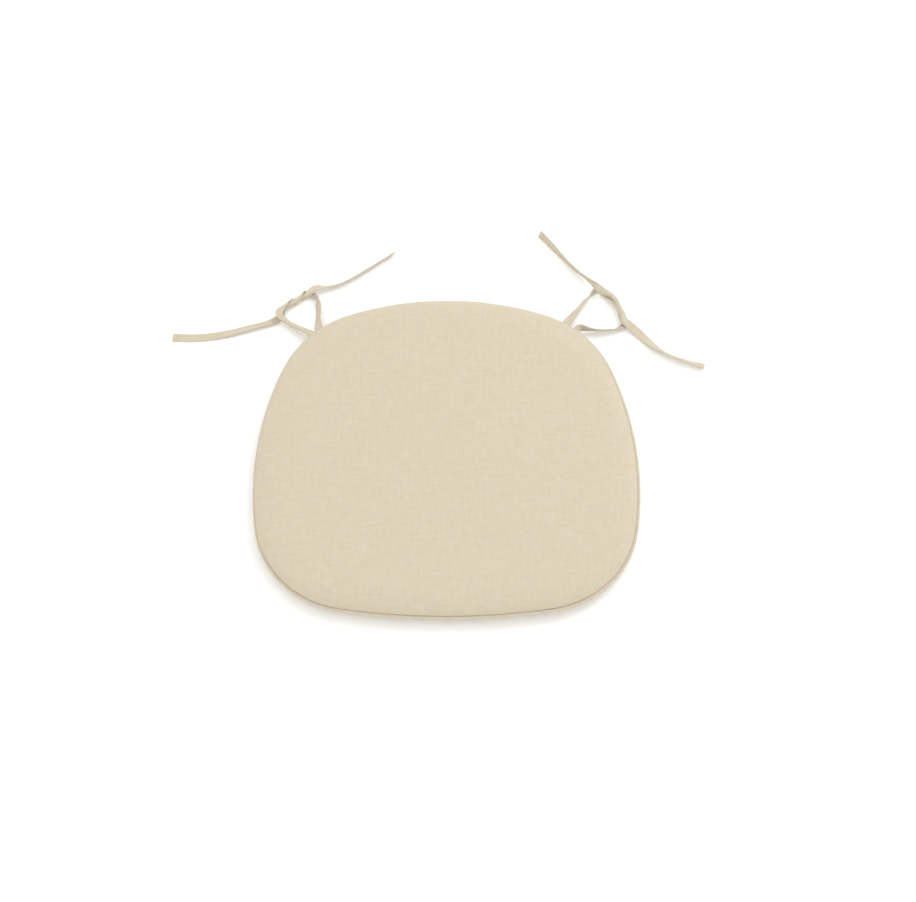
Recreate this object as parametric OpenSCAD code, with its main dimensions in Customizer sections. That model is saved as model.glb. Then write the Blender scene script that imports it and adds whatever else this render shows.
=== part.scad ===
// Chair seat pad: a foam cushion in a piped linen cover with a zip along its back edge and two
// pairs of ties at its back corners. Millimetres, +Z up, +Y towards the back of the chair.
// Origin: the middle of the pad's footprint, on the seat. Every layer is built on one outline,
// a chain of tangent arcs, and is placed by its inset from the piping's outer edge.

/* [Pad] */
// Width of the pad over its piping
pad_w = 420; // [390:5:450]
// Height of the pad at its crown
pad_h = 31; // [30:0.5:33]
// Height of the piping's centre above the seat
seam_z = 15; // [15:0.25:15.5]
// Width of the rounded edge, from the seam to the flat of the pad
edge_w = 30; // [28:1:34]

/* [Outline] */
// Radius of the back edge on a pad 420 wide
back_r0 = 325; // [315:1:340]
// Radius of the two back shoulders
shoulder_r0 = 123; // [115:1:130]
// Radius of the two sides
side_r0 = 387; // [370:1:400]
// Radius of the two front corners
corner_r0 = 111; // [105:1:118]
// Direction of the edge where the back ends, from straight back
back_a = 20; // [20:0.5:21]
// Direction of the edge where the shoulder ends
shoulder_a = 69; // [67:0.5:71]
// Direction of the edge where the side ends
side_a = 99.5; // [98:0.5:101]
// Direction of the edge where the front corner ends
corner_a = 171.3; // [170:0.1:173]

/* [Cloth] */
// Thickness of the cover's linen
cloth_t = 0.6; // [0.5:0.05:0.6]
// Diameter of the piping over its cover
piping_d = 5; // [4.8:0.1:5]
// Width of the seam allowance inside the cover
allowance = 8; // [6:0.5:8]

/* [Ties] */
// Thickness of the folded tie tape
tie_t = 1.4; // [1:0.1:1.5]

/* [Zip] */
// Height of the zip's centre line above the seat
zip_z = 8.9; // [8.8:0.05:9]
// Width of the closed coil
coil_w = 4.3; // [4:0.1:4.4]
// Length of the pull tab
pull_l = 22; // [16:1:24]

/* [Hidden] */
$fn = 48;

linen = [0.89, 0.83, 0.74];
tape = [0.80, 0.75, 0.66];
metal = [0.72, 0.72, 0.73];

// ---- Outline: directions are measured from +Y towards +X ----
function dir(a) = [sin(a), cos(a)];

// The chain's proportions are scaled so that the pad is exactly pad_w wide
raw_side_x = back_r0 * sin(back_a) + shoulder_r0 * (sin(shoulder_a) - sin(back_a))
    + side_r0 * (1 - sin(shoulder_a));
fit = pad_w / 2 / raw_side_x;
back_r = back_r0 * fit;
shoulder_r = shoulder_r0 * fit;
side_r = side_r0 * fit;
corner_r = corner_r0 * fit;

// Centres of the arcs, with the back of the pad at y = 0 for now
back_c0 = [0, -back_r];
shoulder_c0 = back_c0 + (back_r - shoulder_r) * dir(back_a);
side_c0 = shoulder_c0 + (shoulder_r - side_r) * dir(shoulder_a);
corner_c0 = side_c0 + (side_r - corner_r) * dir(side_a);
corner_end = corner_c0 + corner_r * dir(corner_a);
front_r = corner_end.x / sin(corner_a);
front_c0 = corner_end - front_r * dir(corner_a);
pad_d = front_r - front_c0.y;
mid = [0, pad_d / 2];

// Right half of the outline as [direction, point], then the whole of it, clockwise from the back
function arc_points(c, r, a0, a1, n) =
    [for (k = [0:n - 1]) let (a = a0 + (a1 - a0) * k / n) [a, c + mid + r * dir(a)]];
right_half = concat(
    arc_points(back_c0, back_r, 0, back_a, 8),
    arc_points(shoulder_c0, shoulder_r, back_a, shoulder_a, 6),
    arc_points(side_c0, side_r, shoulder_a, 90, 6),
    arc_points(side_c0, side_r, 90, side_a, 3),
    arc_points(corner_c0, corner_r, side_a, corner_a, 9),
    arc_points(front_c0, front_r, corner_a, 180, 4),
    [[180, [0, -pad_d / 2]]]
);
outline = concat(
    right_half,
    [for (k = [len(right_half) - 2:-1:1]) [-right_half[k][0], [-right_half[k][1].x, right_half[k][1].y]]]
);

// ---- Solids built on the outline ----
// One ring of a layer: the outline moved in by p.x, at height p.y
function ring(p) = [for (s = outline) let (q = s[1] - p.x * dir(s[0])) [q.x, q.y, p.y]];
// The same where the zip's stretch of the back edge has its own profile point w
function zip_ring(p, w) =
    [for (s = outline) let (v = abs(s[0]) <= back_a ? w : p, q = s[1] - v.x * dir(s[0])) [q.x, q.y, v.y]];

function band(n, a, b) =
    [for (i = [0:n - 1]) let (j = (i + 1) % n) each [[a + i, b + i, b + j], [a + i, b + j, a + j]]];

// A solid through rings from its top face, round its edge, to its bottom face
module stack(rings) {
    n = len(rings[0]);
    m = len(rings);
    polyhedron(
        points = [for (r = rings) each r],
        faces = concat(
            [[for (i = [0:n - 1]) i]],
            [for (k = [0:m - 2]) each band(n, k * n, (k + 1) * n)],
            [[for (i = [n - 1:-1:0]) (m - 1) * n + i]]
        )
    );
}

// A solid whose section is a closed loop, run right round the outline
module hoop(section) {
    rings = [for (p = section) ring(p)];
    n = len(rings[0]);
    m = len(rings);
    polyhedron(
        points = [for (r = rings) each r],
        faces = [for (k = [0:m - 1]) each band(n, k * n, ((k + 1) % m) * n)]
    );
}

// ---- Profiles, as [inset, height] ----
seam_in = piping_d;
inner_in = seam_in + allowance;
stack_t = 2 * cloth_t;
gap = 0.1;
foam_in = 14.5;
stations = [1, 0.6, 0.3, 0.12, 0.03];

function crown(t, n) = pow(1 - pow(1 - t, n), 1 / n);
// A point on the top and on the underside, the depth d inside the cover's outer face
function top_point(t, d) =
    [seam_in + d + (edge_w - d) * t, seam_z + (pad_h - seam_z - d) * crown(t, 2.5)];
function under_point(t, d) =
    [seam_in + d + (edge_w - d) * t, seam_z - (seam_z - d) * crown(t, 3)];
function reversed(v) = [for (k = [len(v) - 1:-1:0]) v[k]];

module foam_core() {
    profile = [
        [38, 26.6], [25, 26.1], [17, 24.4], [foam_in, 22.5],
        [foam_in, 7.3], [18, 4.9], [26, 3.8], [38, 3.6]
    ];
    color([0.96, 0.93, 0.80]) stack([for (p = profile) ring(p)]);
}

module wadding_top() {
    outer = concat([for (t = stations) top_point(t, cloth_t + 0.3)], [[seam_in + 1.4, 17.3]]);
    inner = [[foam_in - 0.3, 17.3], [foam_in - 0.3, 22.8], [16.8, 24.8], [25, 26.5], [38, 26.9]];
    color([0.97, 0.97, 0.95]) stack([for (p = concat(outer, inner)) ring(p)]);
}

module wadding_under() {
    inner = [[38, 3.3], [26, 3.5], [17.8, 4.6], [foam_in - 0.3, 7.1], [foam_in - 0.3, 13.2]];
    outer = [[12.4, 13.2], [12.4, 5.4], [16.5, 3.5], [24, 1.4], [38, 0.9]];
    color([0.97, 0.97, 0.95]) stack([for (p = concat(inner, outer)) ring(p)]);
}

// The seam allowance of each panel is turned in and lies against the piping's flange
module top_panel() {
    low = seam_z + stack_t / 2 + gap;
    outer = concat([for (t = stations) top_point(t, 0)], [[seam_in + 0.2, low]]);
    turned = [[inner_in, low], [inner_in, low + cloth_t], [seam_in + 0.95, low + cloth_t]];
    inner = reversed([for (t = stations) top_point(t, cloth_t)]);
    color(linen) stack([for (p = concat(outer, turned, inner)) ring(p)]);
}

// Along the zip the panel's edge is hemmed below the slider instead of meeting the piping
module underside_panel() {
    high = seam_z - stack_t / 2 - gap;
    plain = concat(
        [for (t = stations) under_point(t, cloth_t)],
        [[seam_in + 0.95, high - cloth_t], [inner_in, high - cloth_t], [inner_in, high], [seam_in + 0.2, high]],
        reversed([for (t = stations) under_point(t, 0)])
    );
    hemmed = concat(
        [plain[0], plain[1], plain[2]],
        [[9.9, 4.6], [9.85, 4.75], [9.8, 4.9], [9.8, 5.05], [9.7, 5.2], [9.2, 5.45], [8.75, 5.2]],
        [for (k = [10:13]) plain[k]]
    );
    color(linen) stack([for (k = [0:len(plain) - 1]) zip_ring(plain[k], hemmed[k])]);
}

// ---- Piping: a cord in a bias strip, whose two edges run into the seam ----
piping_r = piping_d / 2;
bore_r = piping_r - cloth_t;
function round_point(r, a) = [piping_r + r * cos(a), seam_z + r * sin(a)];

module piping_cover() {
    flange_a = asin(cloth_t / piping_r);
    slit_a = asin(gap / 2 / bore_r);
    eighths = [for (a = [45:45:315]) a];
    section = concat(
        [[inner_in, seam_z + cloth_t]],
        [for (a = concat([flange_a], eighths, [360 - flange_a])) round_point(piping_r, a)],
        [[inner_in, seam_z - cloth_t], [inner_in, seam_z - gap / 2]],
        [for (a = concat([360 - slit_a], reversed(eighths), [slit_a])) round_point(bore_r, a)],
        [[inner_in, seam_z + gap / 2]]
    );
    color([0.86, 0.79, 0.68]) hoop(section);
}

module piping_cord() {
    color([0.93, 0.92, 0.88]) hoop([for (a = [0:45:315]) round_point(bore_r - gap, a)]);
}

module seam_thread() {
    lift = seam_z + stack_t / 2 + gap + cloth_t + 0.4;
    color([0.85, 0.78, 0.68]) hoop([for (a = [0:60:300]) [8.5 + 0.3 * cos(a), lift + 0.3 * sin(a)]]);
}

// ---- Zip: everything turns about the back edge's own centre ----
back_c = back_c0 + mid;

// A sector from direction a0 to a1 of a section given as [inset, height]
module sector(centre, r, a0, a1, section) {
    translate([centre.x, centre.y, 0])
        rotate([0, 0, 90 - a1])
            rotate_extrude(angle = a1 - a0)
                polygon([for (p = section) [r - p.x, p.y]]);
}
module zip_sector(a0, a1, section) sector(back_c, back_r, a0, a1, section);
function box_section(i0, i1, z0, z1) = [[i0, z0], [i1, z0], [i1, z1], [i0, z1]];

zip_end_a = 19.6;
tape_in = 10;
tape_t = 0.5;
tape_edge = 1.3;
coil_in = 8;
slider_a = 17.3;
slider_half_a = 0.95;
stop_a = 18.2;

module zip_tape_upper() {
    top = seam_z - cloth_t - 0.2;
    section = [
        [tape_in, zip_z + tape_edge], [tape_in + tape_t, zip_z + tape_edge],
        [tape_in + tape_t, top - tape_t], [inner_in, top - tape_t], [inner_in, top], [tape_in, top]
    ];
    color(tape) zip_sector(-zip_end_a, zip_end_a, section);
}

module zip_tape_lower() {
    section = [
        [tape_in, zip_z - tape_edge], [tape_in, 5], [14, 3.1], [16, 2.6],
        [16, 2.6 + tape_t], [14, 3.1 + tape_t], [tape_in + tape_t, 5.3], [tape_in + tape_t, zip_z - tape_edge]
    ];
    color(tape) zip_sector(-zip_end_a, zip_end_a, section);
}

module coil(z0, z1) {
    i1 = tape_in - gap;
    section = [[coil_in, z0 + 0.5], [coil_in + 0.5, z0], [i1, z0], [i1, z1], [coil_in + 0.5, z1], [coil_in, z1 - 0.5]];
    color(tape) zip_sector(-stop_a + 0.1, slider_a + 0.25, section);
}
module zip_coil_upper() coil(zip_z + gap / 2, zip_z + coil_w / 2);
module zip_coil_lower() coil(zip_z - coil_w / 2, zip_z - gap / 2);

module zip_top_stops() {
    for (side = [-1, 1])
        let (a = zip_z + side * tape_edge, b = zip_z + side * (tape_edge + 1))
            color(metal) zip_sector(18.7, 19.1, box_section(8.4, tape_in - gap, min(a, b), max(a, b)));
}

module zip_bottom_stop() {
    color(metal) zip_sector(-stop_a - 0.4, -stop_a, box_section(coil_in - 0.2, tape_in - gap, zip_z - 1.9, zip_z + 1.9));
}

// Topstitching through the hem, one stitch every 4 mm
module zip_stitching() {
    pitch_a = 4 / back_r * 180 / PI;
    count = floor(2 * 18.8 / pitch_a);
    color([0.85, 0.78, 0.68])
        for (k = [0:count - 1])
            translate([back_c.x, back_c.y, 0])
                rotate([0, 0, 90 - 18.8 + pitch_a * k])
                    rotate_extrude(angle = 0.7 * pitch_a)
                        translate([back_r - 11, 3.1]) circle(r = 0.25);
}

module zip_slider() {
    half_h = 2.95;
    a0 = slider_a - slider_half_a;
    a1 = slider_a + slider_half_a;
    bridge_a = 0.62;
    color(metal) {
        // Front plate, back plate and the two guides that fold in from the front
        zip_sector(a0, a1, box_section(6.4, 7.4, zip_z - half_h, zip_z + half_h));
        zip_sector(a0, a1, box_section(10.9, 11.8, zip_z - half_h, zip_z + half_h));
        zip_sector(a0, a1, box_section(7.3, 9.7, zip_z - half_h, zip_z - half_h + 0.65));
        zip_sector(a0, a1, box_section(7.3, 9.7, zip_z + half_h - 0.65, zip_z + half_h));
        // The wedge that parts the coil, at the closing end
        zip_sector(slider_a + 0.4, a1, box_section(7.3, 11, zip_z - 1, zip_z + 1));
        // Bridge for the pull tab: a bar on two feet
        zip_sector(slider_a - bridge_a, slider_a + bridge_a, box_section(3.9, 4.8, zip_z - 0.9, zip_z + 0.9));
        for (side = [-1, 1])
            zip_sector(slider_a + side * bridge_a - 0.09, slider_a + side * bridge_a + 0.09,
                box_section(3.9, 6.5, zip_z - 0.9, zip_z + 0.9));
    }
}

// The tab hangs on its own pin under the bridge, and lies along the closed coil
pin_in = 5.6;
module zip_pull() {
    pin_r = 0.55;
    arm_nose = 0.3;
    arm_in = 1.3;
    half_w = 2.4;
    tab_t = 1;
    eye_l = 4.6;
    color(metal)
        translate([back_c.x, back_c.y, 0])
            rotate([0, 0, -slider_a])
                translate([0, back_r - pin_in, zip_z]) {
                    translate([0, 0, -half_w + 0.2]) cylinder(r = pin_r, h = 2 * half_w - 0.4);
                    for (side = [-1, 1])
                        translate([-eye_l - 0.5, -tab_t / 2, side > 0 ? arm_in : -half_w])
                            cube([eye_l + 0.5 + arm_nose, tab_t, half_w - arm_in]);
                    difference() {
                        translate([-eye_l - 0.2, tab_t / 2, 0])
                            rotate([90, 0, 0])
                                linear_extrude(tab_t)
                                    polygon([[0, -half_w], [0, half_w], [eye_l - pull_l + 1.6, half_w],
                                        [eye_l - pull_l + 0.2, half_w - 1], [eye_l - pull_l + 0.2, 1 - half_w],
                                        [eye_l - pull_l + 1.6, -half_w]]);
                        translate([3 - pull_l, tab_t, 0])
                            rotate([90, 0, 0]) cylinder(r = 1.1, h = 2 * tab_t);
                    }
                }
}

// A blank folded label, caught in the back left shoulder's seam under the piping
module care_label() {
    high = seam_z - cloth_t - gap;
    section = [[4.2, 2.5], [4.7, 2.5], [4.7, 12.9], [9, high - 0.6], [9, high - 0.1], [4.2, 13.3]];
    color([0.97, 0.97, 0.96]) sector(shoulder_c_left, shoulder_r, -55, -45, section);
}
shoulder_c_left = [-shoulder_c0.x, shoulder_c0.y + mid.y];

// ---- Ties: flat tapes along hand-laid routes, as [x, y, z, roll, width] ----
// Roll 0 lies flat. Each pair leaves the seam side by side and is tied once in a half knot.
left_outer = [
    [-146, 147, 14, 0, 9.5], [-149.5, 150, 13, 0, 9.5], [-153.5, 154.5, 10.5, -10, 9.5],
    [-162, 161.5, 8.5, -32, 9.5], [-174.5, 169, 5.6, -33, 9.5], [-185, 175.5, 6.4, -34, 9],
    [-192, 182, 9.4, -14, 9], [-188.5, 196, 7.8, 50, 9], [-184.5, 199.5, 5.2, 110, 9.5],
    [-179, 201.5, 3.6, 159, 9.5], [-173, 203, 3.7, 206, 9.5], [-168, 205, 5.4, 256, 9.5],
    [-164, 208.5, 7.5, 308, 9.5], [-160.5, 213.5, 8.6, 356, 9.5], [-150.5, 220.5, 7, 374, 8.8],
    [-141, 222.5, 5.4, 406, 9.2], [-127, 226.5, 4.7, 415, 9.5], [-111, 235.5, 4.5, 417, 9.5],
    [-95, 247, 4.5, 418, 9.5], [-79, 259, 4.5, 419, 9.5], [-62, 271.5, 4.5, 419, 9.5]
];
left_inner = [
    [-139.5, 152.5, 14, 0, 9.5], [-142, 155.5, 13, 0, 9.5], [-145.5, 160, 10.5, 0, 9.5],
    [-148, 175, 8, 50, 9.5], [-148, 189.5, 5.8, 51, 9.5], [-149.5, 201.5, 5, 58, 9],
    [-152, 210.5, 3.2, 138, 7], [-166.5, 212, 4.5, 226, 9.5], [-171, 209, 6.6, 284, 9.5],
    [-174.5, 205, 8.3, 334, 9.5], [-178, 200, 8.4, 381, 9.5], [-181.5, 195.5, 6.8, 430, 9.5],
    [-186, 192.5, 4.4, 480, 8.5], [-191, 185.5, 2.3, 518, 8.5], [-197.5, 179, 1.2, 540, 9],
    [-207, 174.5, 2.7, 516, 9.5], [-224, 169, 3.2, 518, 9.5], [-245.5, 162.5, 2.4, 526, 9.5],
    [-269.5, 157.5, 1.2, 539, 9.5], [-292, 155.5, 1.2, 544, 9.5], [-314, 156, 1.2, 544, 9.5]
];
right_inner = [
    [129.5, 159.5, 14, 0, 9.5], [131.5, 163, 13, 0, 9.5], [134.5, 167.5, 10.5, 0, 9.5],
    [147, 186, 7, 30, 9.5], [155, 197.5, 5.6, 51, 9.5], [163, 208.5, 5, 65, 9.5],
    [168.5, 216, 3.5, 114, 6.5], [174.5, 221.5, 1.7, 168, 7], [189, 209, 3.4, 181, 9.5],
    [192, 202.5, 3.9, 216, 9.5], [194.5, 196, 5.2, 252, 9.5], [196.5, 189.5, 6.8, 288, 9.5],
    [199, 183, 8.1, 324, 9.5], [201.5, 176, 8.6, 359, 9.5], [208.5, 170, 6.6, 343, 9],
    [217.5, 162.5, 3.4, 352, 9.5], [228, 151.5, 2.4, 366, 9.5], [237, 142, 3.6, 392, 9.5],
    [246.5, 134.5, 4.8, 411, 9.5], [262, 126.5, 4.9, 410, 9.5], [276.5, 121, 4.6, 401, 9.5],
    [291.5, 116.5, 3, 385, 9.5]
];
right_outer = [
    [141, 151.5, 14, 0, 9.5], [144, 155, 13, 0, 9.5], [148, 159.5, 10.5, -10, 9.5],
    [152, 164.5, 8.2, -62, 9.5], [163, 164, 6.2, -98, 9.5], [175, 163.5, 5.2, -114, 9.5],
    [187.5, 164, 5, -113, 9.5], [197.5, 167.5, 3.6, -142, 8], [204, 173, 2.4, -172, 7.5],
    [202, 183.5, 3.9, -144, 9.5], [201.5, 191, 5.2, -108, 9.5], [199, 198, 6.8, -72, 9.5],
    [195, 204.5, 8.1, -36, 9.5], [189, 209.5, 8.6, -1, 9.5], [182.5, 212.5, 8.1, 34, 9.5],
    [175.5, 217.5, 10.6, 26, 8.4], [168, 225.5, 9.8, 80, 8.4], [158, 238, 6, 101, 9.4],
    [149.5, 247.5, 5.1, 102, 9.5], [137, 262, 5, 93, 9.5], [124, 279.5, 4.9, 75, 9.5],
    [109, 298.5, 4.7, 66, 9.5]
];

function unit(v) = v / norm(v);
function place(p) = [p.x, p.y, p.z];

// Each span between two laid points is cut into parts along a smooth curve, so a twist is spread evenly
span_parts = 3;
function reach(r, k) = norm(place(r[k + 1]) - place(r[k]));
function slope(r, k) = (r[k + 1] - r[k]) / reach(r, k);
function bend(r, k) =
    k == 0 ? slope(r, 0) :
    k == len(r) - 1 ? slope(r, k - 1) :
    (reach(r, k) * slope(r, k - 1) + reach(r, k - 1) * slope(r, k)) / (reach(r, k) + reach(r, k - 1));
function between(r, k, u) =
    (2 * u * u * u - 3 * u * u + 1) * r[k]
    + (u * u * u - 2 * u * u + u) * reach(r, k) * bend(r, k)
    + (3 * u * u - 2 * u * u * u) * r[k + 1]
    + (u * u * u - u * u) * reach(r, k) * bend(r, k + 1);
function smoothed(r) = [
    for (k = [0:len(r) - 2]) for (j = [0:span_parts - 1]) between(r, k, j / span_parts),
    r[len(r) - 1]
];

function heading(r, k) = unit(place(r[min(k + 1, len(r) - 1)]) - place(r[max(k - 1, 0)]));
function tape_section(w) = [
    for (q = [[1, 0.25], [0.7, 0.5], [-0.7, 0.5], [-1, 0.25], [-1, -0.25], [-0.7, -0.5], [0.7, -0.5], [1, -0.25]])
        [q.x * w / 2, q.y * tie_t]
];
// One ring of a tape: its section turned by the roll about its heading
function tape_ring(r, k) =
    let (t = heading(r, k), s0 = unit(cross(t, [0, 0, 1])), n0 = cross(s0, t), a = r[k][3])
    let (s = s0 * cos(a) + n0 * sin(a), n = n0 * cos(a) - s0 * sin(a))
    [for (q = tape_section(r[k][4])) place(r[k]) + q.x * s + q.y * n];

module tie(laid) {
    route = smoothed(laid);
    color(linen) stack([for (k = [0:len(route) - 1]) tape_ring(route, k)]);
}
module tie_left_outer() tie(left_outer);
module tie_left_inner() tie(left_inner);
module tie_right_inner() tie(right_inner);
module tie_right_outer() tie(right_outer);

foam_core();
wadding_top();
wadding_under();
top_panel();
underside_panel();
piping_cover();
piping_cord();
seam_thread();
care_label();
zip_tape_upper();
zip_tape_lower();
zip_coil_upper();
zip_coil_lower();
zip_top_stops();
zip_bottom_stop();
zip_stitching();
zip_slider();
zip_pull();
tie_left_outer();
tie_left_inner();
tie_right_inner();
tie_right_outer();
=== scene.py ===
import math

import bmesh
import bpy
import numpy as np
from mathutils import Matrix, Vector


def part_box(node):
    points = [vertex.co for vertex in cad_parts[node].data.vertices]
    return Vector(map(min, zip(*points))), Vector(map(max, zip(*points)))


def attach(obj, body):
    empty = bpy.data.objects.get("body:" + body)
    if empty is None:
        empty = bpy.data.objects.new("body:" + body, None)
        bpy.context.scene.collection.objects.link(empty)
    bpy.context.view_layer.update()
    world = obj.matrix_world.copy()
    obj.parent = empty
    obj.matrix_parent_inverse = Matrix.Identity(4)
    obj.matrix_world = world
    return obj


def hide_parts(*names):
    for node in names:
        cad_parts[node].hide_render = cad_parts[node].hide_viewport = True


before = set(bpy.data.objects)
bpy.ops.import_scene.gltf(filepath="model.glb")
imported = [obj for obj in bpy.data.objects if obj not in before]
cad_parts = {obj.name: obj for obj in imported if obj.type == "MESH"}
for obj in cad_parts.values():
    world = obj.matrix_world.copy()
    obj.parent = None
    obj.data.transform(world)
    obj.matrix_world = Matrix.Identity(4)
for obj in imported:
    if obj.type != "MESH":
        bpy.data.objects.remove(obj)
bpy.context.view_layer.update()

MM = 0.001
scene = bpy.context.scene

# ==== Camera: above the front edge, looking down at the pad ====
CAMERA_TILT = math.radians(62)
CAMERA_DISTANCE = 1.9
CAMERA_LENS = 67.56
LOOK_AT = (12.4 * MM, 9.9 * MM)


def add_camera():
    data = bpy.data.cameras.new("camera")
    data.lens = CAMERA_LENS
    camera = bpy.data.objects.new("camera", data)
    camera.location = (
        LOOK_AT[0],
        LOOK_AT[1] - CAMERA_DISTANCE * math.cos(CAMERA_TILT),
        CAMERA_DISTANCE * math.sin(CAMERA_TILT),
    )
    camera.rotation_euler = (math.pi / 2 - CAMERA_TILT, 0, 0)
    scene.collection.objects.link(camera)
    scene.camera = camera


# ==== Mesh helpers ====
def unit(vectors):
    return vectors / np.maximum(np.linalg.norm(vectors, axis=-1, keepdims=True), 1e-12)


def lengths_along(points):
    """How far along a line of points each of them lies."""
    return np.concatenate([[0], np.cumsum(np.linalg.norm(np.diff(points, axis=0), axis=1))])


def on_cloth(x, y, layer=0.0):
    """Places on the flat cloth. Pieces in layers of their own get threads of their own."""
    return np.stack(np.broadcast_arrays(x, y, layer), axis=-1)


class Shape:
    """Vertices and faces gathered from swept solids, with the place of each vertex on the flat cloth."""

    def __init__(self):
        self.points, self.cloth, self.faces, self.count = [], [], [], 0

    def add(self, points, faces, cloth=None):
        points = np.asarray(points, float).reshape(-1, 3)
        cloth = points if cloth is None else np.asarray(cloth, float).reshape(-1, 3)
        self.points.append(points)
        self.cloth.append(cloth)
        self.faces += [[i + self.count for i in face] for face in faces]
        self.count += len(points)

    def sweep(self, rings, cloth=None, loop=False):
        """A solid through rings of points (ring, point, xyz), closed on itself or capped at its ends."""
        n, m = rings.shape[:2]
        faces = band_faces(n, m, loop)
        if not loop:
            faces += [list(range(m)), list(range(n * m - 1, (n - 1) * m - 1, -1))]
        self.add(rings, faces, cloth)

    def build(self, name, material, body="cushion"):
        mesh = bpy.data.meshes.new(name)
        mesh.from_pydata(np.concatenate(self.points).tolist(), [], self.faces)
        mesh.polygons.foreach_set("use_smooth", np.ones(len(mesh.polygons), bool))
        cloth = mesh.attributes.new("cloth", "FLOAT_VECTOR", "POINT")
        cloth.data.foreach_set("vector", np.concatenate(self.cloth).astype(np.float32).ravel())
        mesh.materials.append(material)
        mesh.update()
        obj = bpy.data.objects.new(name, mesh)
        scene.collection.objects.link(obj)
        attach(obj, body)
        return obj


def stand_in(obj, node):
    """Hides the CAD solid that a piece takes the place of."""
    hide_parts(node)


def sweep_piece(name, material, rings, cloth=None, loop=False):
    """A whole piece made of one swept solid."""
    shape = Shape()
    shape.sweep(rings, cloth, loop)
    return shape.build(name, material)


def band_faces(n, m, loop=False):
    """Quads between n rings of m points each, facing outwards for points that run anticlockwise."""
    i, j = np.meshgrid(np.arange(n if loop else n - 1), np.arange(m), indexing="ij")
    i2, j2 = (i + 1) % n, (j + 1) % m
    quads = np.stack([i * m + j, i2 * m + j, i2 * m + j2, i * m + j2], axis=-1)
    return quads.reshape(-1, 4).tolist()


def stitch_run(shape, line, normals, length, gap, radius):
    """Sewn stitches along a line: each comes up out of the cloth, lies on it and goes back down."""
    along = lengths_along(line)
    starts = np.arange(gap / 2, along[-1] - length, length + gap)
    share = np.array([0, 0.1, 0.3, 0.5, 0.7, 0.9, 1])
    lift = radius * np.array([-0.9, 0.25, 0.75, 0.85, 0.75, 0.25, -0.9])
    size = radius * np.array([0.55, 0.9, 1, 1, 1, 0.9, 0.55])
    places = starts[:, None] + share * length
    centre = np.stack([np.interp(places, along, line[:, k]) for k in range(3)], axis=-1)
    up = unit(np.stack([np.interp(places, along, normals[:, k]) for k in range(3)], axis=-1))
    side = unit(np.cross(unit(np.gradient(centre, axis=1)), up))
    turn = np.arange(6) * math.pi / 3
    for c, u, s in zip(centre + lift[:, None] * up, up, side):
        spokes = np.cos(turn)[:, None] * s[:, None] + np.sin(turn)[:, None] * u[:, None]
        rings = c[:, None] + size[:, None, None] * spokes
        shape.sweep(rings, on_cloth(np.linspace(0, length, len(share))[:, None], turn * radius))


# ==== Outline: the chain of tangent arcs that part.scad draws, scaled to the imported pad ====
# Directions are measured from +Y towards +X. Each arc is (radius, direction where it ends).
pad_lo, pad_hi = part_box("piping_cover")
BACK_R, SHOULDER_R, SIDE_R, CORNER_R = 325, 123, 387, 111
BACK_A, SHOULDER_A, SIDE_A, CORNER_A = (math.radians(a) for a in (20, 69, 99.5, 171.3))


def direction(a):
    return np.stack([np.sin(a), np.cos(a)], axis=-1)


def outline_arcs():
    """Rows of (start direction, centre x, centre y, radius), clockwise from the middle of the back."""
    raw_half = (
        BACK_R * math.sin(BACK_A)
        + SHOULDER_R * (math.sin(SHOULDER_A) - math.sin(BACK_A))
        + SIDE_R * (1 - math.sin(SHOULDER_A))
    )
    fit = (pad_hi.x - pad_lo.x) / 2 / raw_half
    ends = [(BACK_R, BACK_A), (SHOULDER_R, SHOULDER_A), (SIDE_R, SIDE_A), (CORNER_R, CORNER_A)]
    centre, radius, start, rows = np.array([0, pad_hi.y]), 0, 0, []
    for raw, end in ends:
        centre = centre + (radius - raw * fit) * direction(start)
        radius = raw * fit
        rows.append((start, *centre, radius))
        start = end
    corner_end = centre + radius * direction(start)
    front_r = corner_end[0] / math.sin(start)
    rows.append((start, *(corner_end - front_r * direction(start)), front_r))
    bounds = [r[0] for r in rows[1:]] + [math.pi]
    left = [(2 * math.pi - b, -cx, cy, r) for (_, cx, cy, r), b in zip(rows, bounds)]
    return np.array(rows + left[::-1])


ARCS = outline_arcs()
ARC_ENDS = np.append(ARCS[1:, 0], 2 * math.pi)
ARC_STARTS_AT = np.concatenate([[0], np.cumsum((ARC_ENDS - ARCS[:, 0]) * ARCS[:, 3])])
OUTLINE_LENGTH = ARC_STARTS_AT[-1]


def direction_at(s):
    """Direction of the edge at the length s along the outline, clockwise from the middle of the back."""
    s = np.asarray(s) % OUTLINE_LENGTH
    k = np.clip(np.searchsorted(ARC_STARTS_AT, s, side="right") - 1, 0, len(ARCS) - 1)
    return ARCS[k, 0] + (s - ARC_STARTS_AT[k]) / ARCS[k, 3]


def place(a, inset, z):
    """Points at directions a, moved in from the outline by inset, at height z."""
    a = np.asarray(a) % (2 * math.pi)
    k = np.clip(np.searchsorted(ARCS[:, 0], a, side="right") - 1, 0, len(ARCS) - 1)
    flat = ARCS[k, 1:3] + (ARCS[k, 3] - inset)[..., None] * direction(a)
    return np.concatenate([flat, np.broadcast_to(z, flat.shape[:-1])[..., None]], axis=-1)


def turned(a):
    """Directions between -180 and 180 degrees, 0 at the middle of the back."""
    return (a + math.pi) % (2 * math.pi) - math.pi


def outward(a):
    return np.concatenate([direction(a), np.zeros(np.shape(a) + (1,))], axis=-1)


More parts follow.
